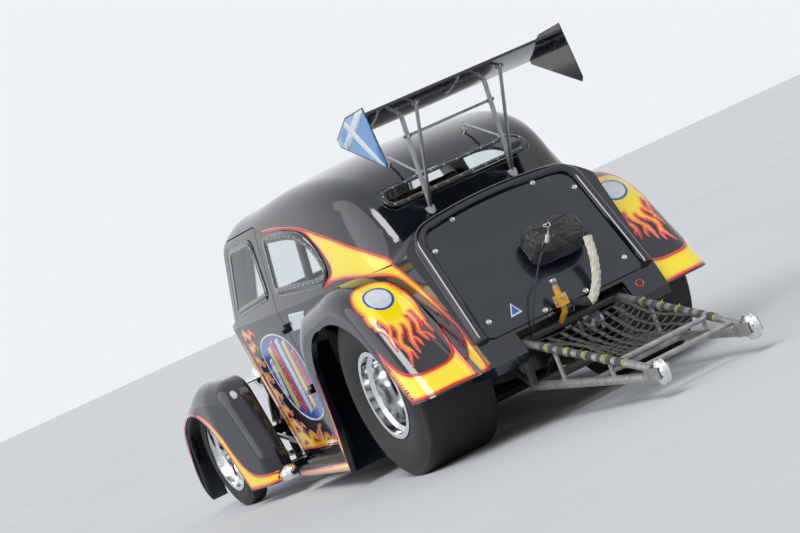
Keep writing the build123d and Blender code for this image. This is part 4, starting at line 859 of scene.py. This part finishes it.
# body, face of the hub, station, height, radius of the nuts' circle and of the cap, the nuts' scale, face of the rim
HUBS = [("rear_wheel", 582.2, 0, 385, 37, 20, 0.9, 690), ("front_wheel", 684.2, -2610, 298, 20, 11, 0.6, 683)]
NUTS, SEATED = 5, 0.6
for body, x, s, z, circle, cap, size, rim_x in HUBS:
    pair = (body + "_left", body + "_right")
    nuts = turned_part(at(x - SEATED, s, z), ACROSS, [(r * cap / 1000, h * cap / 20) for r, h in CAP], 40)
    for k in range(NUTS):
        turn = 2 * math.pi * k / NUTS
        turned_on(nuts, at(x - SEATED, s + circle * math.sin(turn), z + circle * math.cos(turn)), ACROSS,
                  [(r * size, h * size * 1.5) for r, h in HEX_NUT], 6)
    both_sides(body + "_nuts", nuts, bright_steel, pair, "polished")
    valve = bmesh.new()
    bar(valve, at(rim_x - 30, s + 150, z + 70), at(rim_x - 2, s + 153, z + 71), 0.0042, 12)
    both_sides(body + "_valve", valve, bright_steel, pair, "polished")

# Wheelie bars: weathered bare steel tubes with polished ribbed wheels. Black tape and yellow cable
# ties on the upper tubes hold a net of black webbing that sags between them.
bare_tube = finish("bare_tube_worn", (0.50, 0.50, 0.51), 0.44, metallic=0.75, second=(0.24, 0.235, 0.22), patch=22.0,
                   share=0.50, grain=320.0, depth=0.0004, spread=0.16)
wear(bare_tube, ["wheelie_bars"])
HALF_WHEEL = [(0.009, -0.020), (0.030, -0.020), (0.034, -0.0165), (0.043, -0.0165), (0.046, -0.013),
              (0.051, -0.012), (0.0518, -0.008), (0.051, -0.004), (0.047, -0.002)]
small_wheel = HALF_WHEEL + [(r, -h) for r, h in reversed(HALF_WHEEL)] + HALF_WHEEL[:1]
WHEELIE_AXLE = (218, 1600, 108)
wheelie_pair = ("wheelie_wheel_left", "wheelie_wheel_right")
ribbed = turned_part(at(*WHEELIE_AXLE), ACROSS, small_wheel, 72)
for made, replaced in zip(both_sides("ribbed_wheel", ribbed, polish, wheelie_pair, "polished"), wheelie_pair):
    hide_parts(replaced)

nylon = finish("black_nylon", (0.024, 0.024, 0.025), 0.72, second=(0.095, 0.093, 0.090), patch=30.0, share=0.5,
               grain=1400.0, depth=0.0006, spread=0.12)
# station, height and half width of the net at its two ends, and how far it sags
NET_FRONT, NET_REAR, NET_SAG = (640, 351, 222), (1284, 196, 210), 52.0
# how far its front and rear edges bow inwards, and the share by which its sides draw in
BOW_FRONT, BOW_REAR, WAIST = 46, 40, 0.20


def net_at(u, v):
    """A point of the sagging net: u from -1 to 1 across, v from 0 to 1 rearwards."""
    s, z, half = (a + (b - a) * v for a, b in zip(NET_FRONT, NET_REAR))
    waist = 1 - WAIST * math.sin(math.pi * v) ** 2
    bow = BOW_FRONT * (1 - u * u) * (1 - v) - BOW_REAR * (1 - u * u) * v
    return at(u * half * waist, s + bow, z - NET_SAG * (1 - u * u) * math.sin(math.pi * v) ** 0.8 - 8 * (1 - u * u))


def ribbon(shape, points, across, width, thick, lift=lambda i: 0.0):
    """Adds a flat strap through the points, each raised by what lift gives for it."""
    rows = []
    for i, p in enumerate(points):
        along = (points[min(i + 1, len(points) - 1)] - points[max(i - 1, 0)]).normalized()
        side = (across - along * across.dot(along)).normalized()
        up = side.cross(along).normalized() * (1 if side.cross(along).z > 0 else -1)
        p = p + up * lift(i)
        rows.append([shape.verts.new(p + side * width / 2 * a + up * thick / 2 * b)
                     for a, b in ((-1, -1), (1, -1), (1, 1), (-1, 1))])
    for a, b in zip(rows, rows[1:]):
        for k in range(4):
            shape.faces.new((a[k], a[(k + 1) % 4], b[(k + 1) % 4], b[k]))
    shape.faces.new(rows[0])
    shape.faces.new(rows[-1])


net = bmesh.new()
LENGTHWAYS, CROSSWAYS = 9, 13
WEB_W, WEB_T, WEAVE = 0.018, 0.002, 0.0013
for i in range(LENGTHWAYS):
    u = -1 + 2 * i / (LENGTHWAYS - 1)
    ribbon(net, [net_at(u, k / 48) for k in range(49)], ACROSS, WEB_W, WEB_T,
           lambda k, i=i: WEAVE * math.sin(math.pi * (k / 4 + i)))
for j in range(CROSSWAYS):
    v = j / (CROSSWAYS - 1)
    ribbon(net, [net_at(-1 + 2 * k / 32, v) for k in range(33)], ALONG, WEB_W, WEB_T,
           lambda k, j=j: -WEAVE * math.sin(math.pi * (k / 4 + j)))
net_mesh = mesh_of("webbing_net", net)
webbing_net = piece("webbing_net", net_mesh, nylon, "webbing", smooth=False)
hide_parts("wheelie_net")

TUBE_FRONT, TUBE_REAR, TUBE_R = (250, 560, 372), (218, 1545, 128), 16.0


def on_tube(t, side):
    """A point on the middle of an upper wheelie tube and the tube's direction."""
    a, b = at(side * TUBE_FRONT[0], *TUBE_FRONT[1:]), at(side * TUBE_REAR[0], *TUBE_REAR[1:])
    return a.lerp(b, t), (b - a).normalized()


WRAPS, FIRST_WRAP, WRAP_GAP = 9, 0.20, 0.072
wraps, ties, lacing = bmesh.new(), bmesh.new(), bmesh.new()
for side in (-1, 1):
    for k in range(WRAPS):
        t = FIRST_WRAP + WRAP_GAP * k
        spot, along = on_tube(t, side)
        wide = 0.012 + 0.005 * ((k * 7) % 3)
        r = TUBE_R / 1000
        turned_on(wraps, spot, along, [(r - 0.001, -wide), (r + 0.0018, -wide), (r + 0.0022, 0), (r + 0.0018, wide),
                                       (r - 0.001, wide), (r - 0.001, -wide)], 28)
        start = spot + Vector((-side * 0.012, 0, -0.010))
        v = min(max((spot.y - REAR_AXLE_Y - NET_FRONT[0] / 1000) / (NET_REAR[0] - NET_FRONT[0]) * 1000, 0.0), 1.0)
        bar(lacing, start, net_at(side * 0.985, v), 0.0022, 8)
        if k % 2 == 0:
            spot, along = on_tube(t + 0.034, side)
            hoop(ties, spot, along, r + 0.0016, 0.0016, 32, 8)
            tail = spot + Vector((side * (0.004 + 0.003 * (k % 3)), 0.002, r + 0.001))
            bar(ties, tail, tail + Vector((side * 0.007, 0.002 * (k % 3 - 1), 0.004)), 0.0016, 8)
piece("tube_wraps", wraps, nylon, "webbing")
piece("net_lacing", lacing, nylon, "webbing")
tie_yellow = finish("tie_yellow", (0.72, 0.62, 0.03), 0.42, second=(0.52, 0.46, 0.03), patch=90.0, grain=300.0,
                    depth=0.0001)
piece("cable_ties", ties, tie_yellow, "plastic")

# Parachute pack: a soft bag of black ripstop nylon, laced shut round its pin and drawn tight at the
# corners. It is blown up from a smaller block, and then creased towards the pin.
TAIL_UP, TAIL_OUT = Vector((0, -0.455, 0.8905)), Vector((0, 0.8905, 0.455))
PACK_MIDDLE = at(-96.5, 489.2, 680) + TAIL_OUT * 0.0743
PACK_ROOM = ((-0.1500, 0.1480), (-0.0900, 0.0860), (-0.0655, 0.0850))


def soft_block(half, roundness, cuts=12):
    """A closed block with rounded edges and corners, centred on the origin."""
    shape = bmesh.new()
    bmesh.ops.create_cube(shape, size=2.0)
    bmesh.ops.subdivide_edges(shape, edges=shape.edges[:], cuts=cuts, use_grid_fill=True)
    for v in shape.verts:
        reach = sum(abs(c) ** roundness for c in v.co) ** (1 / roundness)
        v.co = Vector(c / reach * h for c, h in zip(v.co, half))
    return shape


BLOWN_FOR, PRESSURE = 20, 4.0            # frames, and the force that blows a form up


def puffed(form, cap, voxel=0.006):
    """A closed cloth form blown up for some frames, no point moving further than cap, then smoothed once."""
    carrier = placed(form.name, form)
    even = carrier.modifiers.new("even", "REMESH")
    even.mode = "VOXEL"
    even.voxel_size = voxel
    plain = bpy.data.meshes.new_from_object(evaluated(carrier))
    carrier.modifiers.clear()
    carrier.data = plain
    cloth = carrier.modifiers.new("cloth", "CLOTH")
    cloth.settings.use_pressure = True
    cloth.settings.uniform_pressure_force = PRESSURE
    cloth.settings.effector_weights.gravity = 0.0
    cloth.point_cache.frame_start = 1
    cloth.point_cache.frame_end = BLOWN_FOR
    for moment in range(1, BLOWN_FOR + 1):
        bpy.context.scene.frame_set(moment)
    blown = evaluated(carrier).to_mesh()
    places = [v.co.copy() for v in blown.vertices]
    evaluated(carrier).to_mesh_clear()
    carrier.modifiers.clear()
    for v, place in zip(plain.vertices, places):
        move = place - v.co
        v.co += move * min(1.0, cap / max(move.length, 1e-9))
    bpy.context.scene.frame_set(1)
    smooth = carrier.modifiers.new("smooth", "SUBSURF")
    smooth.levels = 1
    made = bpy.data.meshes.new_from_object(evaluated(carrier))
    bpy.data.objects.remove(carrier)
    return made


def pack_place(x, v, w):
    """A point of the pack from its place across, up the tail and out from it, in metres from its middle."""
    return PACK_MIDDLE + Vector((x, 0, 0)) + TAIL_UP * v + TAIL_OUT * w


PACK_HALF = (0.141, 0.082, 0.062)
pack_form = soft_block(PACK_HALF, 5.0)
for v in pack_form.verts:
    x, up, out = v.co
    rise = (out + PACK_HALF[2]) / (2 * PACK_HALF[2])
    narrow = 1 - 0.15 * rise ** 1.6
    belly = 0.010 * math.cos(x / PACK_HALF[0] * math.pi / 2) * (1 if up < 0 else 0.3)
    v.co = pack_place(x * narrow - 0.008 * rise, up * narrow - belly + 0.012 * rise * x / PACK_HALF[0], out)
pack_mesh = puffed(mesh_of("parachute_bag", pack_form), 0.011)
# the creases gather at the pin and at the four corners
CREASE_POINTS = [pack_place(*p) for p in ((0.020, 0.010, 0.070), (0.125, -0.055, 0.02), (-0.120, -0.05, 0.03),
                                          (-0.105, 0.055, 0.03), (0.115, 0.058, 0.02))]
CREASES, CREASE_DEEP, CREASE_REACH, CREASE_FREE = 11, 0.0042, 0.085, 0.02
CRUMPLE, FINE_CRUMPLE = 0.0030, 0.0018
for v, normal in [(v, v.normal.copy()) for v in pack_mesh.vertices]:
    depth = 0.0
    for k, point in enumerate(CREASE_POINTS):
        away = v.co - point
        turn = math.atan2(away.dot(TAIL_UP), away.x)
        fade = math.exp(-(away.length / CREASE_REACH) ** 2) * min(1.0, away.length / CREASE_FREE)
        depth += fade * (math.sin(turn * CREASES + 2.3 * k + 3 * noise.noise(v.co * 24)) ** 3) * CREASE_DEEP
    depth += CRUMPLE * noise.noise(Vector((v.co.x * 26, v.co.y * 60, v.co.z * 60)))
    depth += FINE_CRUMPLE * noise.noise(v.co * 95)
    v.co += normal * depth
# no point may leave the room that the pack's solid gives it
for v in pack_mesh.vertices:
    local = v.co - PACK_MIDDLE
    inside = [max(low, min(high, c)) for (low, high), c in zip(PACK_ROOM, (local.x, local.dot(TAIL_UP),
                                                                           local.dot(TAIL_OUT)))]
    v.co = pack_place(*inside)
pack_nylon = finish("pack_nylon", (0.009, 0.009, 0.010), 0.46, second=(0.022, 0.022, 0.024), patch=18.0, share=0.62,
                    grain=1600.0, depth=0.0003, spread=0.10, further=(("Sheen Weight", 0.22),))
pack = piece("parachute_bag", pack_mesh, pack_nylon, "webbing")
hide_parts("parachute_pack")

# the pin, its ring and white tab, and the closing tapes that cross the bag
pack_skin = BVHTree.FromPolygons([v.co.copy() for v in pack_mesh.vertices],
                                 [list(p.vertices) for p in pack_mesh.polygons])


def on_pack(x, v):
    """The bag's surface above a point of its middle plane, and its direction outwards."""
    return pack_skin.ray_cast(pack_place(x, v, 0.3), -TAIL_OUT)[:2]


fittings = bmesh.new()
PIN_AT = (0.020, 0.030)
spot, out = on_pack(*PIN_AT)
hoop(fittings, spot + out * 0.004, out, 0.010, 0.0018)
hoop(fittings, spot + out * 0.004 + Vector((0.014, 0, 0.004)), out, 0.006, 0.0016)
below, normal = on_pack(0.046, -0.014)
bar(fittings, spot + out * 0.004, below + normal * 0.005, 0.0022, 10)
piece("pack_pin", fittings, bright_steel, "steel")
tab = bmesh.new()
TAB_FALL = Vector((0.006, 0.0012, -0.0075))
tab_line = [below + normal * 0.006 + TAB_FALL * k for k in range(5)]
ribbon(tab, tab_line, Vector((0.8, 0, 0.6)), 0.020, 0.002)
tab_white = finish("tab_white", (0.70, 0.70, 0.69), 0.6, second=(0.50, 0.50, 0.49), patch=80.0, grain=700.0)
piece("pack_tab", tab, tab_white, "webbing")
closing = bmesh.new()
for x, up in ((-0.10, 0.058), (0.115, 0.050), (0.100, -0.050)):
    tape = []
    for k in range(14):
        spot, normal = on_pack(PIN_AT[0] + (x - PIN_AT[0]) * k / 13, PIN_AT[1] + (up - PIN_AT[1]) * k / 13)
        if spot:
            tape.append(spot + normal * 0.0012)
    ribbon(closing, tape, Vector((0, 1, 1)), 0.007, 0.0022)
piece("pack_closing_tapes", closing, nylon, "webbing")

# Parachute mount: a tube from the frame that ends in a yellow clevis, with a bright threaded end.
yellow_coat = finish("yellow_coat", (0.80, 0.40, 0.01), 0.32, coat=0.4, second=(0.55, 0.25, 0.01), patch=40.0,
                     share=0.6, grain=300.0, depth=0.0003, spread=0.08)
wear(yellow_coat, ["parachute_mount"])
MOUNT_X, MOUNT_AXIS, THREADS = 40, Vector((0, 0.02, 1)), 5
COLLAR = [(0.0150, 0.0), (0.0172, 0.0), (0.0172, 0.020), (0.0165, 0.024), (0.0150, 0.024), (0.0150, 0.0)]
thread = turned_part(at(MOUNT_X, 661, 536), MOUNT_AXIS, COLLAR, 32)
for k in range(THREADS):
    hoop(thread, at(MOUNT_X, 661, 516 + 4 * k), MOUNT_AXIS, 0.0152, 0.0009, 32, 6)
piece("mount_thread", thread, bright_steel, "chrome_steel")
bolts = bmesh.new()
for way in (-1, 1):
    turned_on(bolts, at(MOUNT_X + way * 22, 660, 462), Vector((way, 0, 0)), HEX_NUT, 6)
    turned_on(bolts, at(MOUNT_X, 660 + way * 24, 478), Vector((0, way, 0)), HEX_NUT, 6)
piece("mount_bolts", bolts, bright_steel, "steel", smooth=False)

# Frame, cage and running gear: satin dark tube with grey overspray, an iron axle and casings, bare
# sheet floor and tubs, and yellow foam strapped round the bar behind the driver.
frame_satin = finish("frame_satin", (0.024, 0.025, 0.027), 0.42, coat=0.2, second=(0.06, 0.058, 0.055), patch=10.0,
                     share=0.62, grain=260.0, depth=0.0003, spread=0.14)
wear(frame_satin, ["frame_rails", "frame_cross_tubes", "roll_cage", "front_axle", "knuckle_left", "knuckle_right",
                   "steering_gear"])
cast_iron = finish("cast_iron", (0.055, 0.056, 0.060), 0.55, metallic=0.5, second=(0.13, 0.11, 0.09), patch=12.0,
                   share=0.62, grain=300.0, depth=0.0007, spread=0.14)
wear(cast_iron, ["rear_axle", "driveline", "engine_block"])
wear(bright_steel, ["rear_suspension", "front_suspension", "steering_rack"])
sheet_metal = finish("sheet_metal", (0.40, 0.41, 0.42), 0.38, metallic=0.9, second=(0.26, 0.25, 0.24), patch=8.0,
                     share=0.58, grain=180.0, depth=0.0003, spread=0.14)
wear(sheet_metal, ["floor_pan", "wheel_tubs"])
PAD_HALF, PAD_R, PAD_BORE, BAR_AT = 0.285, 0.0375, 0.0205, (-535, 1120)
PAD_TIES, TIE_NIP, NIP_W = (-220, -75, 75, 220), 0.004, 0.006
profile = [(PAD_BORE, -PAD_HALF), (PAD_R - 0.004, -PAD_HALF), (PAD_R, -PAD_HALF + 0.004)]
for k in range(1, 60):
    along = -PAD_HALF + 0.004 + (2 * PAD_HALF - 0.008) * k / 60
    nip = sum(math.exp(-((along - tie / 1000) / NIP_W) ** 2) for tie in PAD_TIES)
    profile.append((PAD_R - TIE_NIP * nip, along))
profile += [(PAD_R, PAD_HALF - 0.004), (PAD_R - 0.004, PAD_HALF), (PAD_BORE, PAD_HALF), (PAD_BORE, -PAD_HALF)]
foam_yellow = finish("foam_yellow", (0.86, 0.50, 0.01), 0.8, second=(0.70, 0.38, 0.01), patch=14.0, grain=900.0,
                     depth=0.0008)
bar_pad = piece("bar_pad", turned_part(at(0, *BAR_AT), ACROSS, profile, 40), foam_yellow, "foam")
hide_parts("roll_bar_padding")
pad_ties = bmesh.new()
for x in PAD_TIES:
    hoop(pad_ties, at(x, *BAR_AT), ACROSS, PAD_R - 0.0028, 0.0017, 36, 8)
piece("bar_pad_ties", pad_ties, nylon, "plastic")

# Cockpit: an aluminium bucket with black padded back and squab, a harness of flat webbing, a
# suede-rimmed wheel on its column and a dash with three round gauges.
wear(sheet_metal, ["seat"])
suede = finish("wheel_suede", (0.018, 0.018, 0.019), 0.8, second=(0.04, 0.04, 0.042), patch=40.0, grain=1300.0,
               depth=0.0006)
wear(suede, ["steering_wheel"])
dash_black = finish("dash_black", (0.02, 0.02, 0.021), 0.5, second=(0.035, 0.035, 0.036), patch=8.0, grain=700.0,
                    depth=0.0005)
wear(dash_black, ["dashboard"])
pad_vinyl = finish("seat_vinyl", (0.020, 0.020, 0.022), 0.5, second=(0.034, 0.034, 0.036), patch=20.0, grain=1000.0,
                   depth=0.0005, spread=0.1)
SEAT_X = 318
SWELL = 0.006                            # how much smaller a pad starts than it is blown up to
CHANNEL_GAP, CHANNEL_W, CHANNEL_DEEP = 0.062, 0.0055, 0.006   # the channels stitched along a pad's face
# middle (x, station, height), half sizes in metres, and tilt from level
SEAT_PADS = [("seat_squab", (SEAT_X, -1268, 330), (0.116, 0.138, 0.022), 0.06),
             ("seat_back_pad", (SEAT_X, -1034, 560), (0.112, 0.215, 0.022), 1.36)]
for name, middle, half, tilt in SEAT_PADS:
    form = soft_block([h - SWELL for h in half], 5.0, 10)
    turned = Matrix.Translation(at(*middle)) @ Matrix.Rotation(tilt, 4, "X")
    form.transform(turned)
    pad_mesh = puffed(mesh_of(name, form), 0.008, 0.007)
    sideways, outwards = turned.to_3x3() @ ALONG, turned.to_3x3() @ UP
    for v in pad_mesh.vertices:
        local = v.co - at(*middle)
        if local.dot(outwards) > 0.004:
            off = (local.dot(sideways) + 1.0) % CHANNEL_GAP - CHANNEL_GAP / 2
            v.co -= outwards * CHANNEL_DEEP * math.exp(-(off / CHANNEL_W) ** 2)
    cushion = piece(name, pad_mesh, pad_vinyl, "webbing")
BELT_W, BELT_T = 0.050, 0.003
belts = bmesh.new()


def belt(points, across):
    """Adds a harness belt that runs through the points."""
    line = [a.lerp(b, k / 5) for a, b in zip(points, points[1:]) for k in range(5)] + [points[-1]]
    ribbon(belts, line, across, BELT_W, BELT_T)


for x in (-62, 62):
    belt([at(SEAT_X + x, -940, 838), at(SEAT_X + x * 0.96, -985, 846), at(SEAT_X + x * 0.9, -1042, 770),
          at(SEAT_X + x * 0.8, -1080, 620), at(SEAT_X + x * 0.5, -1122, 470), at(SEAT_X + x * 0.2, -1168, 386)], ACROSS)
for side in (-1, 1):
    belt([at(SEAT_X + side * 132, -1128, 352), at(SEAT_X + side * 80, -1160, 372),
          at(SEAT_X + side * 24, -1174, 384)], Vector((0, 0.7, 0.7)))
piece("harness", belts, nylon, "webbing")
buckle = turned_part(at(SEAT_X, -1172, 382), Vector((0, 0.25, 1)),
                     [(0, 0), (0.026, 0), (0.028, 0.003), (0.028, 0.010), (0.024, 0.013), (0, 0.013)], 36)
piece("harness_buckle", buckle, bright_steel, "steel")
GAUGE_FACE = -1680                       # station of the gauges
# x, height and radius
GAUGES = [(318, 812, 0.042), (214, 806, 0.030), (422, 806, 0.030)]
gauge_rims, gauge_faces = bmesh.new(), bmesh.new()
for x, z, r in GAUGES:
    centre = at(x, GAUGE_FACE, z)
    turned_on(gauge_rims, centre, ALONG, [(r, 0), (r + 0.004, 0), (r + 0.004, 0.016), (r, 0.019), (r - 0.003, 0.016),
                                          (r - 0.003, 0.004), (r, 0)], 48)
    turned_on(gauge_faces, centre, ALONG, [(0, 0.002), (r - 0.001, 0.002), (r - 0.001, 0.006), (0, 0.0062)], 48)
piece("gauge_rims", gauge_rims, bright_steel, "chrome_steel")
piece("gauge_faces", gauge_faces, tab_white, "plastic")

# Nose: a dark maroon lid over fixed maroon sides that are held by quarter-turn fasteners, a painted
# grille shell, chrome headlamp bowls with clear lenses, and chrome exhausts that turn down.
maroon = finish("maroon_gloss", (0.045, 0.006, 0.010), 0.10, coat=0.8, second=(0.075, 0.010, 0.014), patch=3.0,
                share=0.6, grain=60.0, depth=0.0002, spread=0.05)
wear(maroon, ["bonnet", "side_panel_left", "side_panel_right"])
chrome = finish("chrome_plate", (0.80, 0.81, 0.82), 0.07, metallic=1.0, second=(0.62, 0.62, 0.63), patch=14.0,
                share=0.62, grain=100.0, depth=0.0001, spread=0.04)
wear(chrome, ["exhausts", "headlamps"])
PANEL_FASTENERS = [(-2040, 560), (-2040, 420), (-2060, 250), (-2790, 640), (-2790, 740), (-2420, 760), (-2080, 760)]
panel_heads = held_on(from_left(skin_of("side_panel_left"), 0.1), PANEL_FASTENERS, FASTENER, 24)
both_sides("side_panel_fasteners", panel_heads, bright_steel, slot="polished")
lens_glass = finish("lamp_glass", (0.86, 0.88, 0.90), 0.05, coat=0.5, second=(0.76, 0.79, 0.82), patch=30.0,
                    grain=260.0, depth=0.0012, spread=0.03, further=(("Transmission Weight", 0.6),))
LAMP_FACE = at(248, -2767, 590)
DOME = [(0, -0.004), (0.060, -0.004), (0.064, -0.002)]
DOME += [(0.064 * math.cos(a), 0.014 * math.sin(a)) for a in (0.35, 0.7, 1.05, 1.35)] + [(0, 0.0145)]
BEZEL = [(0.063, -0.006), (0.0715, -0.006), (0.0705, 0.002), (0.066, 0.005), (0.063, 0.002), (0.063, -0.006)]
both_sides("lamp_lens", turned_part(LAMP_FACE, -ALONG, DOME, 56), lens_glass, slot="clear")
both_sides("lamp_bezel", turned_part(LAMP_FACE, -ALONG, BEZEL, 64), chrome, slot="chrome_steel")

# Floor and lights: a plain pale floor under a wide soft sky, with a high soft sun to the left and behind
# and a weaker one to the left and ahead.
floor_mesh = bpy.data.meshes.new("studio_floor")
FLOOR_HALF = 60
floor_mesh.from_pydata([(x * FLOOR_HALF, y * FLOOR_HALF, 0) for x, y in ((-1, -1), (1, -1), (1, 1), (-1, 1))], [],
                       [(0, 1, 2, 3)])
floor = placed("studio_floor", floor_mesh)
floor_mesh.materials.append(finish("pale_floor", (0.62, 0.63, 0.64), 0.8, second=(0.58, 0.59, 0.60), patch=0.6,
                                   grain=30.0, depth=0.0005))
floor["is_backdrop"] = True

sky = bpy.data.worlds.new("soft_sky")
bpy.context.scene.world = sky
sky.use_nodes = True
tree = sky.node_tree
backdrop = tree.nodes["Background"]
backdrop.inputs["Color"].default_value = (0.80, 0.86, 0.92, 1)
backdrop.inputs["Strength"].default_value = 0.55
plain = node(tree, "Background", {"Color": (0.86, 0.88, 0.90, 1), "Strength": 1.0})


def larger(one, other):
    """The larger of two outputs of the sky's nodes."""
    most = node(tree, "Math", {0: one, 1: other})
    most.operation = "MAXIMUM"
    return most.outputs[0]


ray = node(tree, "LightPath", {}).outputs
straight = larger(larger(ray["Is Camera Ray"], ray["Is Transmission Ray"]), ray["Is Glossy Ray"])
mixed = node(tree, "MixShader", {"Fac": straight, 1: backdrop.outputs["Background"], 2: plain.outputs["Background"]})
tree.links.new(mixed.outputs["Shader"], tree.nodes["World Output"].inputs["Surface"])

for name, way, angle, power in (("high_sun", (0.55, 0.60, 1.0), 0.55, 1.9),
                                ("side_sun", (1.0, -0.35, 0.45), 0.9, 0.55)):
    lamp = bpy.data.lights.new(name, "SUN")
    lamp.energy = power
    lamp.angle = angle
    placed(name, lamp).rotation_euler = Vector(way).to_track_quat("Z", "Y").to_euler()

bpy.context.scene.view_settings.view_transform = "Standard"
[[list(map(float, corner)) for corner in box] for box in (cad_box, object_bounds())]
